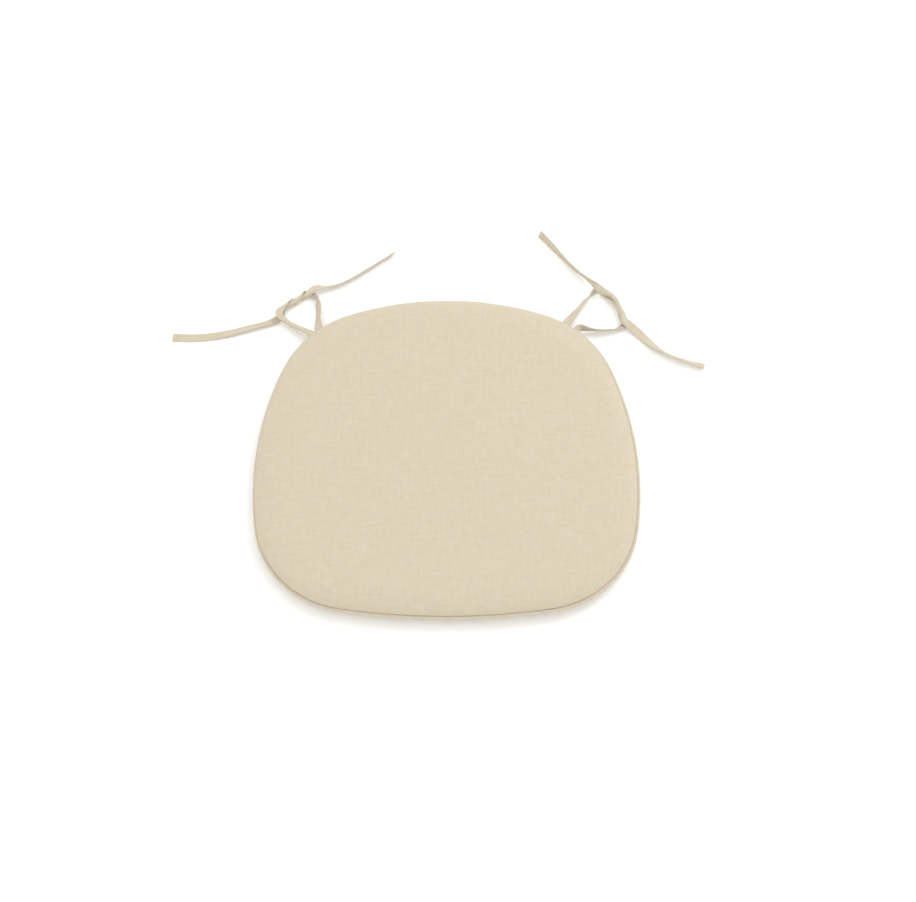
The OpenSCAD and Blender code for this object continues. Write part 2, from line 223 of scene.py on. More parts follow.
# ==== Section of the pad, as part.scad has it ====
SEAM_IN = 5 * MM
SEAM_Z = 15 * MM
EDGE_W = 30 * MM
PAD_H = 31 * MM
CLOTH_T = 0.6 * MM
INNER_IN = 13 * MM
FLAT_IN = 45 * MM
GAP = 0.1 * MM
COLUMNS = 288
SIDE_CELLS = COLUMNS // 4
COLUMN_S = np.arange(COLUMNS) * OUTLINE_LENGTH / COLUMNS
COLUMN_A = direction_at(COLUMN_S)


def crown(t, n):
    return (1 - (1 - t) ** n) ** (1 / n)


def panel_profile(height, power):
    """Insets, heights and developed lengths of a panel's section, closer together near its seam."""
    t = np.linspace(0, 1, 2000) ** 2
    inset = np.append(SEAM_IN + EDGE_W * t, FLAT_IN)
    z = np.append(SEAM_Z + height * crown(t, power), SEAM_Z + height)
    length = np.concatenate([[0], np.cumsum(np.hypot(np.diff(inset), np.diff(z)))])
    stations = length[-1] * np.linspace(0, 1, 17) ** 1.35
    return np.interp(stations, length, inset), np.interp(stations, length, z), stations


def hoops(profile):
    """One ring of points round the pad for each (inset, height) of a profile."""
    return np.stack([place(COLUMN_A, np.full(COLUMNS, i), z) for i, z in profile])


def patch_grid(row_start, inner_start):
    """Vertex numbers of the square patch that closes a ring of COLUMNS points, back to front."""
    k, half = SIDE_CELLS, SIDE_CELLS // 2
    grid = np.empty((k + 1, k + 1), int)
    grid[1:-1, 1:-1] = inner_start + np.arange((k - 1) ** 2).reshape(k - 1, k - 1)
    step = np.arange(k + 1)
    grid[0] = row_start + (7 * half + step) % COLUMNS
    grid[:, -1] = row_start + half + step
    grid[-1] = row_start + 3 * half + step[::-1]
    grid[:, 0] = row_start + 5 * half + step[::-1]
    return grid


def fill(ring):
    """Inner points of that patch, spread evenly between the points of the ring."""
    k = SIDE_CELLS
    grid = np.zeros((k + 1, k + 1, 3))
    edge = patch_grid(0, COLUMNS)
    for row in (0, -1):
        grid[row] = ring[edge[row]]
        grid[:, row] = ring[edge[:, row]]
    u = np.linspace(0, 1, k + 1)[None, :, None]
    v = np.linspace(0, 1, k + 1)[:, None, None]
    corners = [grid[0, 0], grid[0, -1], grid[-1, 0], grid[-1, -1]]
    coons = (
        (1 - v) * grid[:1] + v * grid[-1:] + (1 - u) * grid[:, :1] + u * grid[:, -1:]
        - (1 - u) * (1 - v) * corners[0] - u * (1 - v) * corners[1]
        - (1 - u) * v * corners[2] - u * v * corners[3]
    )
    grid[1:-1, 1:-1] = coons[1:-1, 1:-1]
    for _ in range(400):
        near = grid[:-2, 1:-1] + grid[2:, 1:-1] + grid[1:-1, :-2] + grid[1:-1, 2:]
        grid[1:-1, 1:-1] = near / 4
    return grid[1:-1, 1:-1].reshape(-1, 3)


def lens(rows, top=None, bottom=None):
    """Points and faces of a closed layer: rings from the middle of its upper face round the edge to the
    middle of its lower face, and a square patch of quads on each."""
    n = len(rows)
    top = fill(rows[0]) if top is None else top
    bottom = fill(rows[-1]) if bottom is None else bottom
    points = np.concatenate([rows.reshape(-1, 3), top, bottom])
    faces = [quad[::-1] for quad in band_faces(n, COLUMNS)]
    upper = patch_grid(0, n * COLUMNS)
    lower = patch_grid((n - 1) * COLUMNS, n * COLUMNS + len(top))
    for grid, flip in ((upper, False), (lower, True)):
        quads = np.stack([grid[:-1, :-1], grid[1:, :-1], grid[1:, 1:], grid[:-1, 1:]], axis=-1)
        quads = quads.reshape(-1, 4)
        faces += (quads[:, ::-1] if flip else quads).tolist()
    return points, faces


def waves(s, lengths, seed=0.0):
    """A wave of uneven lengths along the outline, from -1 to 1. It joins up with itself."""
    total = 0
    for k, wavelength in enumerate(lengths):
        turns = round(OUTLINE_LENGTH / wavelength)
        total = total + np.sin(2 * math.pi * turns * s / OUTLINE_LENGTH + 2.4 * k * k + seed)
    return total / len(lengths)


# ==== Cover: simulated as one closed cloth over its foam, then made into two panels ====
TOP_INSET, TOP_Z, TOP_LENGTH = panel_profile(PAD_H - SEAM_Z, 2.5)
UNDER_INSET, UNDER_Z, UNDER_LENGTH = panel_profile(-SEAM_Z, 3)
STATIONS = len(TOP_INSET)
SWELL_CAP = 5 * MM
SWELL_FRAMES = 20
PIPING_R = 2.5 * MM
PIPING_CLEAR = 2.6 * MM
# How far the stuffed top bulges out over its piping, at directions round the pad
BULGE_A = np.radians([0, 30, 55, 90, 125, 180, 225, 245, 270, 310, 335, 360])
BULGE_START, BULGE_CREST, BULGE_FADE = 1.6 * MM, 4 * MM, 14 * MM
BULGE = np.array([2.8, 2.6, 2.2, 2.0, 2.3, 2.6, 2.5, 2.7, 3.6, 3.6, 3.2, 2.8]) * MM


def piping_rise(s):
    """How much the piping rides up and down along the edge."""
    return 0.25 * MM * waves(s, (83 * MM, 47 * MM, 131 * MM), 0.7)


def bulged(points):
    """The top's rings next to the seam, moved out over the piping and kept off its round face."""
    amount = np.interp(COLUMN_A % (2 * math.pi), BULGE_A, BULGE)
    edge = place(COLUMN_A, 0 * COLUMN_A, 0)
    out = outward(COLUMN_A)
    for k in range(STATIONS - 1):
        length = TOP_LENGTH[STATIONS - 1 - k]
        fade = np.exp(-((length - BULGE_CREST).clip(0) / BULGE_FADE) ** 2)
        share = np.clip(length / BULGE_START, 0, 1) * fade
        part = slice(k * COLUMNS, (k + 1) * COLUMNS)
        ring = points[part] + (amount * share)[:, None] * out
        inset = ((edge - ring) * out).sum(axis=1)
        rise = ring[:, 2] - SEAM_Z - piping_rise(COLUMN_S)
        reach = np.sqrt((PIPING_CLEAR**2 - rise**2).clip(0))
        push = np.where(np.abs(rise) < PIPING_CLEAR, (PIPING_R + reach - inset).clip(0), 0)
        points[part] = ring - push[:, None] * out
    return points


def swollen(points, faces, hold, grow):
    """Where the cover's points come to lie when it is stuffed: cloth under pressure, held at its seam."""
    mesh = bpy.data.meshes.new("cover_form")
    mesh.from_pydata(points.tolist(), [], faces)
    form = bpy.data.objects.new("cover_form", mesh)
    scene.collection.objects.link(form)
    for name, weights in (("hold", hold), ("grow", grow)):
        group = form.vertex_groups.new(name=name)
        for i, w in enumerate(weights.tolist()):
            group.add([i], w, "REPLACE")
    settings = form.modifiers.new("cloth", "CLOTH").settings
    settings.quality = 6
    settings.mass = 0.2
    settings.tension_stiffness = settings.compression_stiffness = 10
    settings.shear_stiffness = 8
    settings.bending_stiffness = 0.4
    settings.use_pressure = True
    settings.uniform_pressure_force = 2
    settings.vertex_group_mass = "hold"
    settings.pin_stiffness = 0.6
    settings.vertex_group_shrink = "grow"
    settings.shrink_max = -0.05
    settings.effector_weights.gravity = 0
    for number in range(1, SWELL_FRAMES + 1):
        scene.frame_set(number)
    result = form.evaluated_get(bpy.context.evaluated_depsgraph_get()).data
    moved = np.zeros(len(points) * 3, np.float32)
    result.vertices.foreach_get("co", moved)
    bpy.data.objects.remove(form)
    scene.frame_set(1)
    shift = moved.reshape(-1, 3).astype(float) - points
    size = np.linalg.norm(shift, axis=1, keepdims=True)
    return points + shift * np.minimum(1, SWELL_CAP / np.maximum(size, 1e-9))


def normals_of(points, faces):
    mesh = bpy.data.meshes.new("scratch")
    mesh.from_pydata(points.tolist(), [], faces)
    found = np.zeros(len(points) * 3, np.float32)
    mesh.vertex_normals.foreach_get("vector", found)
    bpy.data.meshes.remove(mesh)
    return found.reshape(-1, 3).astype(float)


class Cover:
    """The outer face of the whole cover: rings from the middle of the top, over the seam, to the middle
    of the underside, and the two square patches."""

    def __init__(self):
        top = list(zip(TOP_INSET[::-1], TOP_Z[::-1]))
        under = list(zip(UNDER_INSET[1:], UNDER_Z[1:]))
        rows = hoops(top + under)
        rest, faces = lens(rows)
        ring_inset = np.concatenate([TOP_INSET[::-1], UNDER_INSET[1:]])
        inset = np.full(len(rest), FLAT_IN)
        inset[: len(rows) * COLUMNS] = np.repeat(ring_inset, COLUMNS)
        edge = np.clip((EDGE_W + SEAM_IN - inset) / EDGE_W, 0, 1)
        points = rest
        hold = np.where(inset < SEAM_IN + 0.1 * MM, 1.0, 0.1 * (1 - edge))
        points = swollen(rest, faces, hold, edge)
        points = bulged(points)
        lowest = np.where(rest[:, 2] < SEAM_Z, 0, SEAM_Z)
        points[:, 2] = np.maximum(points[:, 2], lowest)
        self.rows, self.points = len(rows), points
        self.normals = normals_of(points, faces)

    def part(self, start, count, depth):
        part = slice(start, start + count)
        return self.points[part] - depth * self.normals[part]

    def ring(self, k, depth=0.0):
        """Ring k, moved into the cushion by a depth."""
        return self.part(k * COLUMNS, COLUMNS, depth)

    def patch(self, number, depth=0.0):
        """The middle of the top (0) or of the underside (1), moved into the cushion by a depth."""
        count = (SIDE_CELLS - 1) ** 2
        return self.part(self.rows * COLUMNS + number * count, count, depth)


def flat_cloth(lengths):
    """Where rings at these developed lengths from the seam lie on the flat panel."""
    return np.stack([place(COLUMN_A, FLAT_IN - (max(TOP_LENGTH) - length) * np.ones(COLUMNS), 0)
                     for length in lengths])


def soften(obj, levels=1):
    """Subdivides a cloth piece once its shape is final."""
    modifier = obj.modifiers.new("soften", "SUBSURF")
    modifier.levels = modifier.render_levels = levels


def add_layer(name, rows, material, top=None, bottom=None, cloth=None, levels=0):
    points, faces = lens(rows, top, bottom)
    shape = Shape()
    shape.add(points, faces, cloth)
    obj = shape.build(name, material)
    if levels:
        soften(obj, levels)
    return obj


INNER_STATIONS = [k for k in range(STATIONS) if k not in (0, 1)]
ALLOWANCE_INSETS = np.array([6.0, 8.5, 11.0]) * MM
FLANGE_HALF = CLOTH_T + GAP


def panel_cloth(outer_lengths, turned_rows, inner_lengths):
    """Flat cloth places of a panel's rings: its face, the allowance turned in at the seam, its back."""
    allowance = [-2 * MM * k for k in range(1, turned_rows + 1)]
    rows = flat_cloth(list(outer_lengths) + allowance + list(inner_lengths))
    middle = fill(rows[0])
    return np.concatenate([rows.reshape(-1, 3), middle, fill(rows[-1])])


def add_top_panel(cover, material):
    low = SEAM_Z + FLANGE_HALF
    outer = [cover.ring(k) for k in range(STATIONS - 1)]
    profile = [(SEAM_IN + 0.2 * MM, low)] + [(i, low) for i in ALLOWANCE_INSETS] + [(INNER_IN, low)]
    profile += [(INNER_IN, low + CLOTH_T)] + [(i, low + CLOTH_T) for i in ALLOWANCE_INSETS[::-1]]
    last = STATIONS - 1
    inner = [cover.ring(last - k, CLOTH_T) for k in INNER_STATIONS]
    rows = np.concatenate([outer, hoops(profile), inner])
    cloth = panel_cloth(TOP_LENGTH[:0:-1], len(profile), TOP_LENGTH[INNER_STATIONS])
    obj = add_layer("linen_top_panel", rows, material, cover.patch(0), cover.patch(0, CLOTH_T), cloth, 1)
    stand_in(obj, "top_panel")


# The underside's edge is hemmed along the zip: there its rings follow the hem's own section
HEM_A = math.radians(19.8)
HEM_END_A = math.radians(21.4)
HEM_TOP_Z = 5.1 * MM
HEM_BACK_Z = 4.4 * MM
HEM_FOLD = np.array([(9.9, 4.6), (9.85, 4.9), (9.7, 5.2), (9.25, 5.45), (8.75, 5.3), (8.5, 5.1)]) * MM


def hemmed(rows):
    """Rings of the underside with the stretch along the zip gathered into the hem."""
    share = np.clip((HEM_END_A - np.abs(turned(COLUMN_A))) / (HEM_END_A - HEM_A), 0, 1)
    heights = rows[:, COLUMNS // 2, 2]
    seam_row = int(np.argmax(heights))
    back = [k for k in range(seam_row) if heights[k] > HEM_BACK_Z]
    face = [k for k in range(seam_row, len(rows)) if heights[k] > HEM_TOP_Z]
    folded = back + face
    along = np.linspace(0, len(HEM_FOLD) - 1, len(folded))
    inset = np.interp(along, range(len(HEM_FOLD)), HEM_FOLD[:, 0])
    z = np.interp(along, range(len(HEM_FOLD)), HEM_FOLD[:, 1])
    made = rows.copy()
    for k, i, height in zip(folded, inset, z):
        hem = place(COLUMN_A, np.full(COLUMNS, i), height)
        made[k] += share[:, None] * (hem - rows[k])
    return made


def add_underside_panel(cover, material):
    high = SEAM_Z - FLANGE_HALF
    first = STATIONS - 1
    inner = [cover.ring(first + k, CLOTH_T) for k in INNER_STATIONS[::-1]]
    profile = [(i, high - CLOTH_T) for i in ALLOWANCE_INSETS] + [(INNER_IN, high - CLOTH_T)]
    profile += [(INNER_IN, high)] + [(i, high) for i in ALLOWANCE_INSETS[::-1]]
    profile += [(SEAM_IN + 0.2 * MM, high)]
    outer = [cover.ring(first + k) for k in range(1, STATIONS)]
    rows = hemmed(np.concatenate([inner, hoops(profile), outer]))
    cloth = panel_cloth(UNDER_LENGTH[INNER_STATIONS[::-1]], len(profile), UNDER_LENGTH[1:])
    back, front = cover.patch(1, CLOTH_T), cover.patch(1)
    obj = add_layer("linen_underside_panel", rows, material, back, front, cloth, 1)
    stand_in(obj, "underside_panel")


# ==== Filling: foam block and wadding ====
def profile_mm(*pairs):
    return hoops([(i * MM, z * MM) for i, z in pairs])


def roughened(rows, amount, lengths, seed):
    """Rings moved in and out a little along the edge's normal, as cut foam and torn wadding are."""
    for k in range(len(rows)):
        rows[k] += amount * waves(COLUMN_S, lengths, seed + 1.7 * k)[:, None] * outward(COLUMN_A)
    return rows


def add_foam(material):
    rows = profile_mm(
        (45, 26.6), (38, 26.6), (31, 26.4), (25, 26.1), (20.5, 25.4), (17, 24.4), (15.2, 23.4), (14.6, 22.3),
        (14.5, 20), (14.5, 17.4), (14.5, 14.8), (14.5, 12.2), (14.5, 9.6), (14.6, 7.4), (16, 5.9),
        (18, 4.9), (21.5, 4.2), (26, 3.8), (32, 3.65), (38, 3.6), (45, 3.6),
    )
    rows[6:14] = roughened(rows[6:14], 0.12 * MM, (23 * MM, 9 * MM, 14 * MM), 0.4)
    obj = add_layer("foam_block", rows, material)
    stand_in(obj, "foam_core")


WADDING_GAP = 0.3 * MM


def add_top_wadding(cover, material):
    outer = [cover.ring(k, CLOTH_T + WADDING_GAP) for k in range(STATIONS - 4)]
    inner = profile_mm(
        (6.5, 18.3), (6.5, 17.3), (9, 17.2), (12, 17.2), (14.1, 17.3), (14.2, 18.5), (14.2, 20.8),
        (14.2, 22.8), (15.2, 24), (16.8, 24.8), (20.5, 25.8), (25, 26.5), (38, 26.9), (45, 26.9),
    )
    inner[:4] = roughened(inner[:4], 0.15 * MM, (11 * MM, 7 * MM, 17 * MM), 2.0)
    rows = np.concatenate([outer, inner])
    obj = add_layer("top_wadding_layer", rows, material, top=cover.patch(0, CLOTH_T + WADDING_GAP))
    stand_in(obj, "wadding_top")


def add_under_wadding(material):
    rows = profile_mm(
        (45, 3.3), (38, 3.3), (26, 3.5), (21, 3.9), (17.8, 4.6), (15.6, 5.6), (14.4, 7.1), (14.2, 9.2),
        (14.2, 11.3), (14.1, 13), (13.3, 13.2), (12.6, 13), (12.5, 11), (12.5, 8.6), (12.5, 6.4),
        (13.5, 5), (16.5, 3.5), (20, 2.3), (24, 1.5), (38, 1), (45, 1),
    )
    rows[10:15] = roughened(rows[10:15], 0.1 * MM, (11 * MM, 7 * MM, 17 * MM), 5.0)
    obj = add_layer("under_wadding_layer", rows, material)
    stand_in(obj, "wadding_under")


# ==== Piping and the seam that holds it ====
BORE_R = 1.9 * MM
PIPING_STEP = 1.8 * MM
SEAM_STITCH_IN, SEAM_STITCH_Z = 8.5 * MM, 16.45 * MM
# Stitches are given by their length, the gap between them and their thread's radius
SEAM_STITCH = 2.6 * MM, 0.5 * MM, 0.28 * MM


def piping_section():
    """Insets and heights round the folded bias strip: its cord's tunnel and the flange in the seam."""
    lip = math.degrees(math.asin(CLOTH_T / PIPING_R))
    slit = math.degrees(math.asin(GAP / 2 / BORE_R))
    outer = [(PIPING_R, a) for a in np.linspace(lip, 360 - lip, 29)]
    bore = [(BORE_R, a) for a in np.linspace(360 - slit, slit, 15)]
    turn = [(PIPING_R + r * math.cos(math.radians(a)), SEAM_Z + r * math.sin(math.radians(a)))
            for r, a in outer + bore]
    flange = np.array([12.98, 10.5, 7.5]) * MM
    upper = [(i, SEAM_Z + CLOTH_T) for i in flange]
    lower = [(i, SEAM_Z - CLOTH_T) for i in flange[::-1]]
    lower_in = [(i, SEAM_Z - GAP / 2) for i in flange]
    upper_in = [(i, SEAM_Z + GAP / 2) for i in flange[::-1]]
    return np.array(upper + turn[:29] + lower + lower_in + turn[29:] + upper_in)


def add_piping(material):
    n = int(OUTLINE_LENGTH / PIPING_STEP)
    s = np.arange(n) * OUTLINE_LENGTH / n
    a = direction_at(s)
    section = piping_section()
    spin = np.arctan2(section[:, 1] - SEAM_Z, section[:, 0] - PIPING_R)
    free = np.clip((SEAM_IN + 0.5 * MM - section[:, 0]) / (1.5 * MM), 0, 1)
    rings = np.empty((n, len(section), 3))
    for k, ((inset, z), angle, loose) in enumerate(zip(section, spin, free)):
        drag = waves(s + 2.2 * MM * angle, (9 * MM, 14 * MM, 6.3 * MM, 31 * MM), 1.0)
        swell = 1 + loose * (0.022 * drag - 0.01)
        rise = loose * piping_rise(s)
        rings[:, k] = place(
            a, PIPING_R + (inset - PIPING_R) * swell, SEAM_Z + (z - SEAM_Z) * swell + rise
        )
    around = lengths_along(section)
    cloth = on_cloth(s[:, None], around[None, :], 0.07)
    strip = sweep_piece("piping_strip", material, rings, cloth, loop=True)
    stand_in(strip, "piping_cover")


STRANDS = 3
STRAND_R = 0.84 * MM
STRAND_OFFSET = 0.9 * MM
TWIST = 11 * MM


def add_piping_cord(material):
    """Three cotton strands twisted together inside the piping, closed on themselves."""
    n = int(OUTLINE_LENGTH / (1.5 * MM))
    s = np.arange(n) * OUTLINE_LENGTH / n
    a = direction_at(s)
    turns = round(OUTLINE_LENGTH / TWIST)
    shape = Shape()
    for strand in range(STRANDS):
        phase = 2 * math.pi * (turns * s / OUTLINE_LENGTH + strand / STRANDS)
        rings = np.stack([
            place(
                a,
                PIPING_R + STRAND_OFFSET * np.cos(phase) + STRAND_R * np.cos(phase + b),
                SEAM_Z + STRAND_OFFSET * np.sin(phase) + STRAND_R * np.sin(phase + b),
            )
            for b in np.arange(7) * 2 * math.pi / 7
        ], axis=1)
        shape.sweep(rings, loop=True)
    stand_in(shape.build("piping_cotton_cord", material), "piping_cord")


def add_seam_stitching(material):
    a = direction_at(np.linspace(0, OUTLINE_LENGTH, 1400))
    line = place(a, np.full(len(a), SEAM_STITCH_IN), SEAM_STITCH_Z)
    shape = Shape()
    stitch_run(shape, line, np.tile([0, 0, 1.0], (len(a), 1)), *SEAM_STITCH)
    stand_in(shape.build("seam_stitching", material), "seam_thread")


# ==== Ties: flat tapes along the same routes as part.scad, as [x, y, z, roll, width] in mm ====
LEFT_OUTER = [
    [-146, 147, 14, 0, 9.5], [-149.5, 150, 13, 0, 9.5], [-153.5, 154.5, 10.5, -10, 9.5],
    [-162, 161.5, 8.5, -32, 9.5], [-174.5, 169, 5.6, -33, 9.5], [-185, 175.5, 6.4, -34, 9],
    [-192, 182, 9.4, -14, 9], [-188.5, 196, 7.8, 50, 9], [-184.5, 199.5, 5.2, 110, 9.5],
    [-179, 201.5, 3.6, 159, 9.5], [-173, 203, 3.7, 206, 9.5], [-168, 205, 5.4, 256, 9.5],
    [-164, 208.5, 7.5, 308, 9.5], [-160.5, 213.5, 8.6, 356, 9.5], [-150.5, 220.5, 7, 374, 8.8],
    [-141, 222.5, 5.4, 406, 9.2], [-127, 226.5, 4.7, 415, 9.5], [-111, 235.5, 4.5, 417, 9.5],
    [-95, 247, 4.5, 418, 9.5], [-79, 259, 4.5, 419, 9.5], [-62, 271.5, 4.5, 419, 9.5],
]
LEFT_INNER = [
    [-139.5, 152.5, 14, 0, 9.5], [-142, 155.5, 13, 0, 9.5], [-145.5, 160, 10.5, 0, 9.5],
    [-148, 175, 8, 50, 9.5], [-148, 189.5, 5.8, 51, 9.5], [-149.5, 201.5, 5, 58, 9],
    [-152, 210.5, 3.2, 138, 7], [-166.5, 212, 4.5, 226, 9.5], [-171, 209, 6.6, 284, 9.5],
    [-174.5, 205, 8.3, 334, 9.5], [-178, 200, 8.4, 381, 9.5], [-181.5, 195.5, 6.8, 430, 9.5],
    [-186, 192.5, 4.4, 480, 8.5], [-191, 185.5, 2.3, 518, 8.5], [-197.5, 179, 1.2, 540, 9],
    [-207, 174.5, 2.7, 516, 9.5], [-224, 169, 3.2, 518, 9.5], [-245.5, 162.5, 2.4, 526, 9.5],
    [-269.5, 157.5, 1.2, 539, 9.5], [-292, 155.5, 1.2, 544, 9.5], [-314, 156, 1.2, 544, 9.5],
]
RIGHT_INNER = [
    [129.5, 159.5, 14, 0, 9.5], [131.5, 163, 13, 0, 9.5], [134.5, 167.5, 10.5, 0, 9.5],
    [147, 186, 7, 30, 9.5], [155, 197.5, 5.6, 51, 9.5], [163, 208.5, 5, 65, 9.5],
    [168.5, 216, 3.5, 114, 6.5], [174.5, 221.5, 1.7, 168, 7], [189, 209, 3.4, 181, 9.5],
    [192, 202.5, 3.9, 216, 9.5], [194.5, 196, 5.2, 252, 9.5], [196.5, 189.5, 6.8, 288, 9.5],
    [199, 183, 8.1, 324, 9.5], [201.5, 176, 8.6, 359, 9.5], [208.5, 170, 6.6, 343, 9],
    [217.5, 162.5, 3.4, 352, 9.5], [228, 151.5, 2.4, 366, 9.5], [237, 142, 3.6, 392, 9.5],
    [246.5, 134.5, 4.8, 411, 9.5], [262, 126.5, 4.9, 410, 9.5], [276.5, 121, 4.6, 401, 9.5],
    [291.5, 116.5, 3, 385, 9.5],
]
RIGHT_OUTER = [
    [141, 151.5, 14, 0, 9.5], [144, 155, 13, 0, 9.5], [148, 159.5, 10.5, -10, 9.5],
    [152, 164.5, 8.2, -62, 9.5], [163, 164, 6.2, -98, 9.5], [175, 163.5, 5.2, -114, 9.5],
    [187.5, 164, 5, -113, 9.5], [197.5, 167.5, 3.6, -142, 8], [204, 173, 2.4, -172, 7.5],
    [202, 183.5, 3.9, -144, 9.5], [201.5, 191, 5.2, -108, 9.5], [199, 198, 6.8, -72, 9.5],
    [195, 204.5, 8.1, -36, 9.5], [189, 209.5, 8.6, -1, 9.5], [182.5, 212.5, 8.1, 34, 9.5],
    [175.5, 217.5, 10.6, 26, 8.4], [168, 225.5, 9.8, 80, 8.4], [158, 238, 6, 101, 9.4],
    [149.5, 247.5, 5.1, 102, 9.5], [137, 262, 5, 93, 9.5], [124, 279.5, 4.9, 75, 9.5],
    [109, 298.5, 4.7, 66, 9.5],
]
# Each tie: its route and its length from the seam to its end
TIES = {
    "left_outer": (LEFT_OUTER, 0.227),
    "left_inner": (LEFT_INNER, 0.245),
    "right_inner": (RIGHT_INNER, 0.245),
    "right_outer": (RIGHT_OUTER, 0.236),
}
TIE_WIDTH = 9.5 * MM
TIE_T = 1.4 * MM
TIE_STEP = 1.2 * MM
TIE_END = 7 * MM
# The folded tape's section, in half widths and thicknesses: a fold on one edge, two turned edges and the
# slit between them on the other, with the dent of the topstitching beside it
TIE_SECTION = np.array([
    (-0.9, 0.03), (-0.985, 0.12), (-1, 0.28), (-0.97, 0.43), (-0.88, 0.49), (-0.78, 0.44), (-0.71, 0.4),
    (-0.64, 0.44), (-0.5, 0.5), (-0.25, 0.5), (0, 0.485), (0.25, 0.49), (0.5, 0.5), (0.74, 0.49),
    (0.9, 0.43), (0.97, 0.28), (1, 0), (0.97, -0.28), (0.9, -0.43), (0.74, -0.49), (0.5, -0.5),
    (0.25, -0.49), (0, -0.485), (-0.25, -0.5), (-0.5, -0.5), (-0.64, -0.44), (-0.71, -0.4),
    (-0.78, -0.44), (-0.88, -0.49), (-0.97, -0.43), (-1, -0.28), (-0.985, -0.12), (-0.9, -0.03),
])
STITCH_ACROSS = -0.71
TIE_STITCH = 2.2 * MM, 0.7 * MM, 0.17 * MM
TIE_END_STITCH = 1.5 * MM, 0.4 * MM, 0.17 * MM
# Where each tie lies in its knot: the rows between which it is curled round the other one
KNOTS = {"left_outer": (7, 13), "left_inner": (7, 12), "right_inner": (8, 13), "right_outer": (9, 14)}
CURL_R = 3.2 * MM
CURL_TUCK = 1.2 * MM


def smooth_route(route):
    """A curve through a route's rows, with one row about every TIE_STEP, and how many rows it has passed."""
    p = np.array([row + [k] for k, row in enumerate(route)], float)
    p[:, :3] *= MM
    p[:, 4] *= MM
    d = np.linalg.norm(np.diff(p[:, :3], axis=0), axis=1)[:, None]
    slope = np.diff(p, axis=0) / d
    bend = np.empty_like(p)
    bend[0], bend[-1] = slope[0], slope[-1]
    bend[1:-1] = (d[1:] * slope[:-1] + d[:-1] * slope[1:]) / (d[1:] + d[:-1])
    rows = []
    for k in range(len(d)):
        u = np.linspace(0, 1, math.ceil(d[k, 0] / TIE_STEP), endpoint=False)[:, None]
        rows.append(
            (2 * u**3 - 3 * u**2 + 1) * p[k] + (u**3 - 2 * u**2 + u) * d[k] * bend[k]
            + (3 * u**2 - 2 * u**3) * p[k + 1] + (u**3 - u**2) * d[k] * bend[k + 1]
        )
    return np.concatenate(rows + [p[-1:]])


def tape_frame(path, roll):
    """Unit vectors across the tape and out of its face, for a roll measured as in part.scad."""
    ahead = unit(np.gradient(path, axis=0))
    flat = unit(np.cross(ahead, [0, 0, 1.0]))
    up = np.cross(flat, ahead)
    c, s = np.cos(roll)[:, None], np.sin(roll)[:, None]
    return flat * c + up * s, up * c - flat * s


def add_tie(name, linen_material, thread_material):
    route, length = TIES[name]
    rows = smooth_route(route)
    path, width = rows[:, :3], rows[:, 4]
    across, face = tape_frame(path, np.radians(rows[:, 3]))
    along = lengths_along(path)
    left = along[-1] - along
    seed = list(TIES).index(name) * 1.9
    hem = 1 + 0.22 * np.clip((TIE_END - left) / (0.6 * MM), 0, 1)
    tip = np.clip(left / (0.5 * MM), 0, 1)
    thick = TIE_T * hem * (0.55 + 0.45 * tip)
    half = width / 2 * (0.965 + 0.035 * tip) * (1 + 0.018 * np.sin(along / (5.3 * MM) + seed))
    knot_start, knot_end = KNOTS[name]
    passed = rows[:, 5]
    curl = np.clip(passed - knot_start + 0.7, 0, 1) * np.clip(knot_end + 0.7 - passed, 0, 1)
    tuck = CURL_TUCK if name.endswith("outer") else -CURL_TUCK

    def surface(x, y):
        """Points at x half widths across and y thicknesses out of the tape, and their normals."""
        turn = half * x / CURL_R
        radius = CURL_R + tuck * x
        ripple = 0.06 * MM * np.sin(along / (2.9 * MM) + 2.1 * x + seed)
        crease = 0.10 * MM * np.sin(along / (7.7 * MM) + seed) * x
        sideways = (1 - curl) * half * x + curl * radius * np.sin(turn)
        lift = curl * (radius * np.cos(turn) - CURL_R)
        lean = (curl * turn)[:, None]
        normal = np.cos(lean) * face + np.sin(lean) * across
        out = (thick * y + (ripple + crease) * (1 - 0.6 * curl))[:, None] * normal
        return path + sideways[:, None] * across + lift[:, None] * face + out, normal

    rings = np.stack([surface(x, y)[0] for x, y in TIE_SECTION], axis=1)
    around = lengths_along(TIE_SECTION * [TIE_WIDTH / 2, TIE_T])
    cloth = on_cloth(around[None, :], along[:, None], 0.3 + 0.1 * seed)
    obj = sweep_piece("tie_" + name + "_tape", linen_material, rings[:, ::-1], cloth[:, ::-1])
    thread = Shape()
    for side in (1, -1):
        line, normal = surface(STITCH_ACROSS, side * 0.4)
        stitch_run(thread, line[3:-4], side * normal[3:-4], *TIE_STITCH)
        end = len(path) - 1 - int(np.searchsorted(left[::-1], 0.75 * TIE_END))
        cross = np.linspace(-0.86, 0.86, 12)[:, None] * half[end] * across[end]
        line = path[end] + cross + side * 0.5 * thick[end] * face[end]
        stitch_run(thread, line, np.tile(side * face[end], (12, 1)), *TIE_END_STITCH)
    stitching = thread.build("tie_" + name + "_stitching", thread_material)
    stand_in(obj, "tie_" + name)


